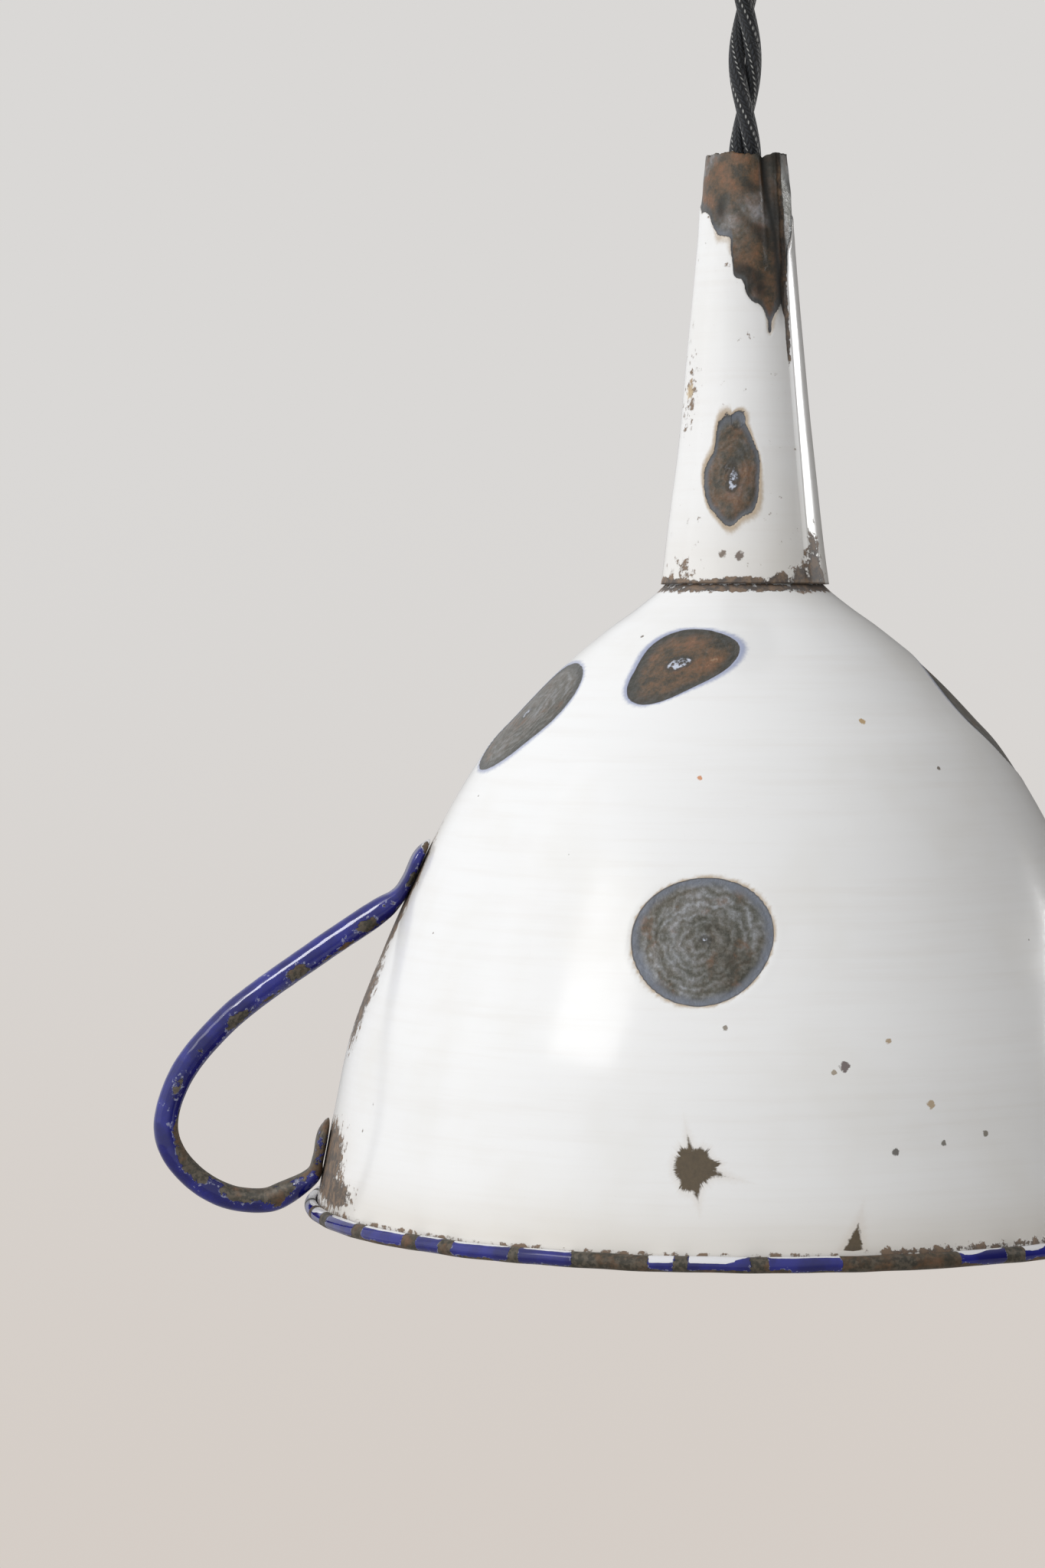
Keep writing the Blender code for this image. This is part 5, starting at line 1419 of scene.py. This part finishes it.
@dataclass
class SideHandle:
    """The bent bar at the side, round along its loop and flattened into a foot at each end."""

    bar: float = 0.005
    reach: float = 0.032
    span: float = 0.054
    above_rim: float = 0.007
    foot: float = 0.0115
    gap: float = 0.0003
    loop: tuple[tuple[float, float], ...] = (
        (0.11, 0.065), (0.46, 0.239), (0.75, 0.398), (0.92, 0.546), (0.99, 0.672), (0.98, 0.806),
        (0.88, 0.913), (0.69, 1.009), (0.47, 1.070), (0.26, 1.085), (0.135, 1.060),
    )
    foot_sections: tuple[tuple[float, float, float], ...] = (
        (0.0, 0.0052, 0.0012), (0.3, 0.0080, 0.0022), (0.7, 0.0080, 0.0022), (1.0, 0.0065, 0.00325),
    )
    worn: tuple[tuple[float, float, float], ...] = (
        (-0.0869, -0.2356, 3.2), (-0.0739, -0.2261, 2.8), (-0.0983, -0.2444, 4.2), (-0.1069, -0.2499, 2.6),
        (-0.1111, -0.2571, 4.6), (-0.1060, -0.2720, 7.0), (-0.0975, -0.2790, 8.0), (-0.0900, -0.2800, 7.0),
        (-0.0660, -0.2170, 3.0), (-0.0700, -0.2205, 2.2),
    )

    def foot_rows(self, funnel: Funnel, top: float) -> list[tuple[float, float, float, float]]:
        """(outwards, height, width, thickness) down a foot that lies on the bowl from this depth.

        Args:
            funnel: the funnel it lies on.
            top: how far below the neck its tip is.

        Returns:
            The rows, from the tip to where the bar leaves it.
        """
        outline = np.asarray(funnel.bowl_outline)
        depths = outline[:, 1] * (funnel.neck - funnel.rim_low - funnel.bead)
        bottom = funnel.rim_radius - 2 * funnel.bead + funnel.sheet
        radii = funnel.neck_radius + outline[:, 0] * (bottom - funnel.neck_radius)
        rows = []
        for share, wide, thick in self.foot_sections:
            depth = top + share * self.foot
            radius, further = np.interp([depth, depth + 0.002], depths, radii)
            fall = np.array([further - radius, -0.002])
            fall /= np.linalg.norm(fall)
            off = self.gap + thick / 2
            rows.append((radius - fall[1] * off, funnel.neck - depth + fall[0] * off, wide, thick))
        return rows

    def build(self, funnel: Funnel) -> bpy.types.Object:
        """Carry a section along the handle's line.

        The section is the ellipse N thick/2 cos a + Y wide/2 sin a, sunk along a channel on the loop's inner side
        and a slit on the lower foot, with a hammered unevenness.

        Args:
            funnel: the funnel it is fixed to.

        Returns:
            The handle.
        """
        lower_top = funnel.neck - funnel.rim_low - self.above_rim - self.foot
        upper = self.foot_rows(funnel, lower_top - self.span)
        lower = self.foot_rows(funnel, lower_top)
        (top_out, top_height), (low_out, low_height) = upper[-1][:2], lower[-1][:2]
        middle = [
            (top_out + drop * (low_out - top_out) + out * self.reach, top_height + drop * (low_height - top_height),
             self.bar, self.bar)
            for out, drop in self.loop
        ]
        line = through([*upper, *middle, *lower[::-1]], 420)
        out, height, wide, thick = line.T
        slope = np.gradient(line[:, :2], axis=0)
        slope /= np.linalg.norm(slope, axis=1)[:, None]
        normal = np.stack([-slope[:, 1], slope[:, 0]], axis=1)
        along = np.linspace(0, 1, len(line))
        turn = np.linspace(0, 2 * math.pi, 72, endpoint=False)[None, :]

        flat = np.maximum(ease(0.16, 0.06, along), ease(0.86, 0.95, along))[:, None]
        square = 1 / (np.abs(np.cos(turn)) ** (2 + 1.6 * flat) + np.abs(np.sin(turn)) ** (2 + 1.6 * flat)) ** (
            1 / (2 + 1.6 * flat)
        )
        inner_side = np.abs(turn - math.pi)
        channel = 0.17 * hump(inner_side, 0.0, 0.34) * (ease(0.45, 0.62, along) * ease(0.95, 0.88, along))[:, None]
        outer_side = np.minimum(turn, 2 * math.pi - turn)
        slit = 0.42 * hump(outer_side, 0.0, 0.26) * ease(0.885, 0.93, along)[:, None]
        slit = slit * ease(0.995, 0.975, along)[:, None]
        section = square * (1 - channel - slit)
        ends = np.sqrt(np.clip(1 - (np.abs(along - 0.5) * 2) ** 40, 0.02, 1))[:, None]
        thickness = thick[:, None] / 2 * np.cos(turn) * section * ends
        width = wide[:, None] / 2 * np.sin(turn) * section * ends
        x = -(out[:, None] + normal[:, 0, None] * thickness)
        z = height[:, None] + normal[:, 1, None] * thickness
        grid = np.stack([x, -width, z], axis=-1)
        rough = 1 + ripple(grid, 0.009, 61) * 0.014 + ripple(grid, 0.0028, 62) * 0.006
        grid[..., 0] = -out[:, None] + (grid[..., 0] + out[:, None]) * rough
        grid[..., 1] *= rough
        grid[..., 2] = height[:, None] + (grid[..., 2] - height[:, None]) * rough
        wear = self.wear(grid, along, turn)
        white = 0.75 * most(ease(0.05, 0.0, along), ease(0.955, 0.985, along))[:, None] + 0 * wear
        skin = Skin(grid, capped=True, fields={"wear": wear, "white": white}, length=along * 0.13)
        return settle(make_piece("side_handle", [skin], [BLUE]), Body.PENDANT, "handle")

    def wear(self, grid: Array, along: Array, turn: Array) -> Array:
        """How worn the blue is: most at the feet, on the inner side low down, and at a few knocks in front."""
        under = hump(np.abs(turn - math.radians(118)), 0.0, 0.95)
        total = np.full(grid.shape[:2], 0.16)
        for x, z, size in self.worn:
            away = np.hypot(grid[..., 0] - x, grid[..., 2] - z) / MM
            total = np.maximum(total, 0.16 + 0.70 * hump(away, 0.0, size) * under)
        inner = hump(np.abs(turn - math.pi), 0.0, 1.05) * (ease(0.46, 0.62, along) * ease(1.0, 0.95, along))[:, None]
        total = np.maximum(total, 0.16 + 0.72 * inner)
        edge = 0.34 * hump(np.abs(turn - math.radians(140)), 0.0, 0.30) * np.ones_like(total)
        upper_foot = 0.52 * ease(0.060, 0.01, along)[:, None]
        lower_foot = 0.40 * ease(0.86, 0.93, along)[:, None]
        return np.clip(most(total, 0.16 + edge, upper_foot, 0.16 + lower_foot), 0, 0.95)


# The flex, its fittings and the bulb


@dataclass
class TwistedFlex:
    """Two braided strands twisted together, in runs: the end runs ride on the rose and the pendant, and the runs
    between them ride on no body.

    A strand's middle line is the helix (h cos t, h sin t, z), with t rising as z falls, one turn in each lay.
    """

    helix: float = 0.00155
    strand: float = 0.00166
    lay: float = 0.0398
    crossing: float = -0.0683
    overall: float = 0.0065
    row_step: float = 0.00028
    upper_end: float = -0.0461
    lower_end: float = -0.0550
    margin: float = 0.0006

    def strand_skin(self, high: float, low: float, first: float) -> Skin:
        """One strand between two heights, from the first angle in radians at the crossing."""
        rows = max(8, round((high - low) / self.row_step))
        z = np.linspace(high, low, rows)[:, None]
        turn = first + 2 * math.pi * (self.crossing - z) / self.lay
        rate = -2 * math.pi / self.lay
        zero, one = np.zeros_like(z), np.ones_like(z)
        outward = np.concatenate([np.cos(turn), np.sin(turn), zero], axis=1)
        along = np.concatenate([-self.helix * rate * np.sin(turn), self.helix * rate * np.cos(turn), one], axis=1)
        stretch = np.linalg.norm(along[0])
        along /= stretch
        side = np.cross(along, outward)
        around = np.linspace(0, 2 * math.pi, 40, endpoint=False)[None, :, None]
        flat = 1 - 0.085 * hump(np.abs(around - math.pi), 0.0, 0.55)
        reach = self.strand * flat
        points = (
            outward[:, None] * self.helix
            + np.concatenate([zero, zero, z], axis=1)[:, None]
            + outward[:, None] * reach * np.cos(around)
            + side[:, None] * reach * np.sin(around)
        )
        length = (self.crossing - z[:, 0]) * stretch + 0.1
        return Skin(points, capped=True, length=length)

    def run(self, name: str, high: float, low: float) -> bpy.types.Object:
        """Both strands between two heights."""
        front = math.radians(FRONT)
        return make_piece(name, [self.strand_skin(high, low, front + k * math.pi) for k in (0, 1)], [BRAID])

    def build(self) -> None:
        rose_low, rose_high = (corner.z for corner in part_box("flex_in_rose"))
        holder_low, holder_high = (corner.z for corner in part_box("flex_in_holder"))
        upper_end, lower_end, margin = self.upper_end, self.lower_end, self.margin
        in_rose = self.run("flex_rose_run", rose_high, rose_low)
        settle(in_rose, Body.ROSE, "flex_in_rose")
        upper = self.run("flex_upper_run", rose_low, upper_end)
        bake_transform(upper)
        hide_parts("flex_bend")
        lower = self.run("flex_lower_run", upper_end, lower_end)
        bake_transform(lower)
        main = self.run("flex_main_run", lower_end, holder_high)
        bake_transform(main)
        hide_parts("flex_drop")
        in_holder = self.run("flex_holder_run", holder_high, holder_low)
        settle(in_holder, Body.PENDANT, "flex_in_holder")
        LOG.info("flex runs declared from z %.4f to %.4f", holder_high, lower_end)


@dataclass
class CeilingRose:
    """The rose's cup and its cord grip. Its plate, block, screws and cores keep their CAD shapes."""

    wall: float = 0.0018
    round_edge: float = 0.006
    neck: float = 0.0053
    bore: float = 0.00355
    chamfer: float = 0.001

    def build(self) -> None:
        """Make the cup as a spun outline with a stepped foot, and the grip with a chamfered collar."""
        low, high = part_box("rose_cup")
        outer, inner = high.x, high.x - self.wall
        corner, floor = self.round_edge, low.z + self.wall
        quarter = np.linspace(0, math.pi / 2, 12)
        outside = np.stack(
            [outer - corner + corner * np.cos(quarter), low.z + corner - corner * np.sin(quarter)], axis=1
        )
        small = corner - 0.4 * self.wall
        inside = np.stack(
            [inner - small + small * np.cos(quarter), floor + small - small * np.sin(quarter)], axis=1
        )[::-1]
        bead = [(outer, high.z), (outer, high.z - 0.0030), (outer - 0.0006, high.z - 0.0036)]
        step = [(outer - 0.0006, high.z - 0.0044), (outer, high.z - 0.0050)]
        rest = [(self.neck, low.z), (self.neck, floor)]
        outline = np.vstack([[(inner, high.z)], bead, step, outside, rest, inside])
        piece = make_piece("rose_cover", [Skin(spun(outline, 128), closed_rows=True)], [BAKELITE])
        settle(piece, Body.ROSE, "rose_cup")
        low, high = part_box("rose_grip")
        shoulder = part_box("rose_cup")[0].z - 0.0003
        radius = high.x
        corners = [
            (self.bore, high.z), (0.005, high.z), (0.005, shoulder), (radius, shoulder),
            (radius, low.z + self.chamfer), (radius - self.chamfer, low.z), (self.bore, low.z),
        ]
        outline = rounded(corners, 0.0003)
        points = spun(outline, 120)
        grip = make_piece("rose_cord_grip", [Skin(points, closed_rows=True)], [BRASS])
        settle(grip, Body.ROSE, "rose_grip")


@dataclass
class Lampholder:
    """The clamp under the neck and the lampholder below it."""

    wall: float = 0.002
    bore: float = 0.00355
    nipple_bore: float = 0.0037
    nipple_radius: float = 0.005
    hole: float = 0.0053
    dome: float = 0.014
    ribs: int = 24
    rib_depth: float = 0.0006
    lip: float = 0.0154
    shell_bore: float = 0.0138

    def clamp(self) -> None:
        """The support washer, nipple and cord grip, with rounded edges and a rolled thread on the nipple."""
        low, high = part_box("support_washer")
        corners = [(self.hole, high.z), (high.x, high.z), (high.x, low.z), (self.hole, low.z)]
        washer = turned_piece("clamp_washer", corners, 0.0003, ZINC)
        settle(washer, Body.PENDANT, "support_washer")
        low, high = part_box("nipple")
        rows = np.linspace(high.z, low.z, 90)
        outer = np.stack([np.full_like(rows, self.nipple_radius - 0.00025), rows], axis=1)
        inner = np.array([(self.nipple_bore, low.z), (self.nipple_bore, high.z)])
        points = threaded(np.vstack([outer, inner]), 0.001, 0.0005, low.z - 1, high.z + 1)
        points[-2:] = spun(inner, 72)
        tube = make_piece("threaded_nipple", [Skin(points, closed_rows=True)], [BRASS])
        settle(tube, Body.PENDANT, "nipple")
        low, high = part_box("cord_grip")
        thread_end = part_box("nipple")[1].z + 0.0003
        radius = max(-low.x, -low.y)
        corners = [
            (self.bore, high.z), (radius - 0.001, high.z), (radius, high.z - 0.001), (radius, low.z),
            (self.hole, low.z), (self.hole, thread_end), (self.bore, thread_end),
        ]
        settle(turned_piece("holder_cord_grip", corners, 0.0003, BRASS), Body.PENDANT, "cord_grip")

    def shell(self) -> None:
        """The holder's domed cap, ribbed skirt and threaded brass screw shell."""
        low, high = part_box("holder_cap")
        outer, inner = high.x, high.x - self.wall
        shoulder, dome = outer * 0.45, self.dome
        quarter = np.linspace(0, math.pi / 2, 24)
        outside = np.stack(
            [shoulder + (outer - shoulder) * np.sin(quarter), high.z - dome * (1 - np.cos(quarter))], axis=1
        )
        under, ceiling = shoulder - self.wall / 2, high.z - self.wall
        inside = np.stack(
            [under + (inner - under) * np.sin(quarter), ceiling - (dome - self.wall) * (1 - np.cos(quarter))], axis=1
        )[::-1]
        groove = [
            (outer, low.z + 0.0040), (outer - 0.0005, low.z + 0.0036), (outer - 0.0005, low.z + 0.0030),
            (outer, low.z + 0.0026),
        ]
        foot = [(outer, low.z), (inner, low.z)]
        outline = np.vstack([[(self.hole, high.z)], outside, groove, foot, inside, [(self.hole, ceiling)]])
        cap = make_piece("holder_dome", [Skin(spun(outline, 128), closed_rows=True)], [BAKELITE])
        settle(cap, Body.PENDANT, "holder_cap")

        low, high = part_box("holder_skirt")
        lip, lip_top = self.lip, low.z + 0.0015
        heights = np.linspace(high.z - 0.002, low.z + 0.003, 40)
        outer_line = np.stack([np.full_like(heights, outer), heights], axis=1)
        outline = np.vstack([
            [(inner, high.z), (outer - 0.0005, high.z), (outer, high.z - 0.0005)], outer_line,
            [(outer, low.z + 0.0008), (outer - 0.0008, low.z), (lip, low.z), (lip, lip_top), (inner, lip_top)],
        ])
        columns = 192
        points = spun(outline, columns)
        ribs = 0.5 + 0.5 * np.cos(np.linspace(0, 2 * math.pi * self.ribs, columns, endpoint=False))
        z = outline[:, 1]
        zone = ease(high.z - 0.003, high.z - 0.006, z) * ease(low.z + 0.004, low.z + 0.007, z)
        zone = zone * (outline[:, 0] > outer - 0.0002)
        scale = 1 - self.rib_depth / outer * zone[:, None] * ease(0.55, 1.0, ribs)[None, :]
        points[..., 0] *= scale
        points[..., 1] *= scale
        skirt = make_piece("holder_ribbed_skirt", [Skin(points, closed_rows=True)], [BAKELITE])
        settle(skirt, Body.PENDANT, "holder_skirt")

        low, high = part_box("screw_shell")
        bore = self.shell_bore
        heights = np.linspace(high.z, low.z, 100)
        outer_line = np.stack([np.full_like(heights, bore + 0.00012), heights], axis=1)
        inner_line = np.stack([np.full_like(heights, bore - 0.00028), heights[::-1]], axis=1)
        points = threaded(np.vstack([outer_line, inner_line]), CAP_PITCH, 0.0008, low.z, high.z, 96)
        brass = make_piece("holder_screw_shell", [Skin(points, closed_rows=True)], [BRASS])
        settle(brass, Body.PENDANT, "screw_shell")

    def build(self) -> None:
        """Make the clamp and the holder."""
        self.clamp()
        self.shell()


@dataclass
class Bulb:
    """A small clear globe bulb with a 26 mm screw cap."""

    glass_wall: float = 0.0008
    globe: float = 0.0225
    neck_length: float = 0.024
    thread: float = 0.00084
    cap_hole: float = 0.0098

    def cap(self) -> float:
        """Make the screw cap with its thread. It returns the cap's lowest height."""
        low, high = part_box("bulb_cap")
        radius = high.x
        heights = np.linspace(high.z - 0.0016, low.z, 110)
        crest = radius - self.thread / 2
        outer = np.stack([np.full_like(heights, crest), heights], axis=1)
        inner = np.stack([np.full_like(heights, crest - 0.0007), heights[::-1]], axis=1)
        top = [(self.cap_hole, high.z), (crest - 0.0012, high.z - 0.0003), (crest - 0.0003, high.z - 0.0009)]
        under = [(crest - 0.0016, high.z - 0.0014), (self.cap_hole, high.z - 0.0007)]
        outline = np.vstack([top, outer, inner, under])
        points = threaded(outline, CAP_PITCH, self.thread, low.z + 0.0050, high.z - 0.0012, 96)
        settle(make_piece("bulb_screw_cap", [Skin(points, closed_rows=True)], [CAP_METAL]), Body.BULB, "bulb_cap")
        return low.z

    def glass(self, cap_low: float) -> None:
        """The glass: neck, flare and globe through one smooth line, with its wall's inner face."""
        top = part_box("bulb_glass")[1].z
        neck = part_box("bulb_cap")[1].x - 0.0010
        centre = cap_low - self.neck_length
        sweep = np.radians(np.linspace(46, -90, 30))
        globe = np.stack([self.globe * np.cos(sweep), centre + self.globe * np.sin(sweep)], axis=1)
        line = through([(neck, top), (neck, cap_low), (neck + 0.0004, cap_low - 0.0030), *globe], 90)
        line[-1, 0] = 0.0
        slope = np.gradient(line, axis=0)
        slope /= np.linalg.norm(slope, axis=1)[:, None]
        inside = line - np.stack([-slope[:, 1], slope[:, 0]], axis=1) * self.glass_wall
        inside[-1, 0] = 0.0
        outline = np.vstack([line, inside[::-1]])
        skin = Skin(spun(outline, 96), closed_rows=True)
        glass = make_piece("bulb_globe", [skin], [BULB_GLASS])
        weld(glass)
        settle(glass, Body.BULB, "bulb_glass")

    def build(self) -> None:
        """Make the cap and the glass. The button, insulator, stem and filament keep their CAD shapes."""
        self.glass(self.cap())


def weld(piece: bpy.types.Object) -> None:
    """Merge a mesh's coincident points, so that a pole is one point, and drop what collapsed."""
    bm = bmesh.new()
    bm.from_mesh(piece.data)
    bmesh.ops.remove_doubles(bm, verts=bm.verts, dist=1e-7)
    loose = [edge for edge in bm.edges if not edge.link_faces]
    bmesh.ops.delete(bm, geom=loose, context="EDGES")
    bm.to_mesh(piece.data)
    bm.free()
    piece.data.shade_smooth()


# The studio


@dataclass
class Studio:
    """A pale room: a camera that looks a little down, window light from the left, and a floor well below the lamp."""

    lens: float = 100.0
    distance: float = 0.852
    camera_height: float = -0.1678
    camera_azimuth: float = -7.0
    yaw: float = 2.91
    pitch: float = 2.10
    floor_height: float = -0.62
    floor_radius: float = 1.0

    def camera(self) -> None:
        """Place the camera in front of the lamp, a little to its handle side, and aim it left and down of it."""
        around = math.radians(self.camera_azimuth)
        data = bpy.data.cameras.new("camera")
        data.lens = self.lens
        data.sensor_width = 36.0
        data.sensor_fit = "AUTO"
        data.clip_start, data.clip_end = 0.01, 50.0
        camera = bpy.data.objects.new("camera", data)
        camera.location = (
            self.distance * math.sin(around),
            -self.distance * math.cos(around),
            self.camera_height,
        )
        tilt = math.radians(90 - self.pitch)
        camera.rotation_euler = (tilt, 0.0, around + math.radians(self.yaw))
        bpy.context.scene.collection.objects.link(camera)
        bpy.context.scene.camera = camera

    def window(
        self, name: str, azimuth: float, elevation: float, reach: float, size: tuple, power: float, colour: Colour
    ) -> bpy.types.Object:
        """A soft rectangular light that faces the lamp.

        Args:
            name: its name.
            azimuth, elevation: where it stands, in degrees, seen from the lamp.
            reach: how far away it is.
            size: its width and height.
            power: watts.
            colour: its colour.

        Returns:
            The light.
        """
        data = bpy.data.lights.new(name, "AREA")
        data.shape = "RECTANGLE"
        data.size, data.size_y = size
        data.energy = power
        data.color = colour
        light = bpy.data.objects.new(name, data)
        a, e = math.radians(azimuth), math.radians(elevation)
        middle = np.array([0.0, 0.0, -0.2])
        away = np.array([math.cos(a) * math.cos(e), math.sin(a) * math.cos(e), math.sin(e)])
        light.location = middle + away * reach
        light.rotation_euler = (math.pi / 2 - e, 0.0, a + math.pi / 2)
        bpy.context.scene.collection.objects.link(light)
        return light

    def gleam(self, handle: bpy.types.Object) -> None:
        """A bright window that only the handle's glaze mirrors."""
        light = self.window("handle_gleam", -128.0, 40.0, 1.2, (0.42, 0.42), 9.0, (1.0, 1.0, 1.0))
        light.visible_diffuse = False
        mirrors = bpy.data.collections.new("handle_gleam_mirrors")
        mirrors.objects.link(handle)
        light.light_linking.receiver_collection = mirrors

    def world(self) -> None:
        """A pale backdrop for the camera, warmer low down, and a sky for light, brightest on the left and above."""
        world = bpy.data.worlds.new("pale_room")
        world.use_nodes = True
        bpy.context.scene.world = world
        graph = Graph(world.node_tree)
        way = graph.node("TexCoord").outputs["Generated"]
        x, y, z = graph.parts(way)
        backdrop = graph.mix(graph.step(z, -0.24, 0.06), srgb(213, 205, 198), srgb(218, 216, 214))
        left = graph.weighed(x, -0.90, graph.weighed(y, -0.26, graph.times(z, 0.56)))
        stops = (
            (0.0, (0.08, 0.075, 0.07)),
            (0.32, (0.20, 0.19, 0.18)),
            (0.60, (0.86, 0.86, 0.87)),
            (1.0, (1.02, 1.03, 1.05)),
        )
        sky = graph.scale_of(graph.weighed(left, 0.5, 0.5), stops)
        seen = graph.node("LightPath").outputs["Is Camera Ray"]
        surface = world.node_tree.nodes["Background"]
        graph.feed(surface.inputs["Color"], graph.mix(seen, sky, backdrop))
        surface.inputs["Strength"].default_value = 1.0

    def floor(self) -> None:
        """A round pale floor: rings r, drawn out from the middle, flat at its height."""
        radii = np.linspace(0.002, self.floor_radius, 24)
        outline = np.stack([radii, np.full_like(radii, self.floor_height)], axis=1)
        mesh = bpy.data.meshes.new("floor")
        points = spun(outline, 96)
        rows, columns = points.shape[:2]
        i, j = np.arange(rows - 1)[:, None], np.arange(columns)[None, :]
        after = (j + 1) % columns
        quads = np.stack(
            [i * columns + j, (i + 1) * columns + j, (i + 1) * columns + after, i * columns + after], axis=-1
        )
        faces = [*quads.reshape(-1, 4).tolist(), list(range(columns))]
        mesh.from_pydata(points.reshape(-1, 3).tolist(), [], faces)
        material = bpy.data.materials.new("floor_paint")
        material.use_nodes = True
        graph = Graph(material.node_tree)
        shader = material.node_tree.nodes["Principled BSDF"]
        clouds = graph.noise(graph.object_place(), 3.0, 3.0)
        graph.feed(shader.inputs["Base Color"], graph.mix(clouds, srgb(203, 199, 193), srgb(195, 190, 183)))
        shader.inputs["Roughness"].default_value = 0.8
        mesh.materials.append(material)
        floor = bpy.data.objects.new("floor", mesh)
        bpy.context.scene.collection.objects.link(floor)

    def build(self) -> None:
        """Make the camera, the lights, the world and the floor."""
        scene = bpy.context.scene
        scene.view_settings.view_transform = "Standard"
        self.camera()
        self.world()
        self.floor()
        self.window("left_window", -146.0, 32.0, 1.2, (0.42, 0.34), 1.5, (1.0, 0.99, 0.97))
        self.window("big_window", -165.0, 22.0, 1.6, (1.4, 1.6), 2.8, (0.98, 0.99, 1.0))
        self.window("right_gleam", 16.0, 8.0, 1.3, (0.5, 0.40), 9.0, (1.0, 1.0, 1.0)).visible_diffuse = False


def dress_frame_nodes(frame: dict) -> None:
    """Give each shown CAD node the finish of its slot."""
    by_slot = {
        finish.slot: finish
        for finish in (
            WHITE, BLUE, BRAID, BRASS, ZINC, WIRE, CAP_METAL, SOLDER, FILAMENT, BAKELITE, PORCELAIN, BROWN_CORE,
            BLUE_CORE, BLACK_GLASS, BULB_GLASS,
        )
    }
    for part in frame["record"]["subparts"]:
        node = frame["nodes"][part["node"]]
        finish = by_slot[part["material_slot"]]
        node.data.materials.clear()
        node.data.materials.append(finish.material())


def main() -> None:
    """Load the frame and build the studio, the flex, the funnel, its handle, the fittings and the bulb."""
    logging.basicConfig(level=logging.INFO, format="%(name)s %(message)s")
    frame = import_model()
    studio = Studio()
    studio.build()
    dress_frame_nodes(frame)
    CeilingRose().build()
    TwistedFlex().build()
    funnel = Funnel()
    funnel.build()
    studio.gleam(SideHandle().build(funnel))
    Lampholder().build()
    Bulb().build()
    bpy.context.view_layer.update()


if __name__ == "__main__":
    main()
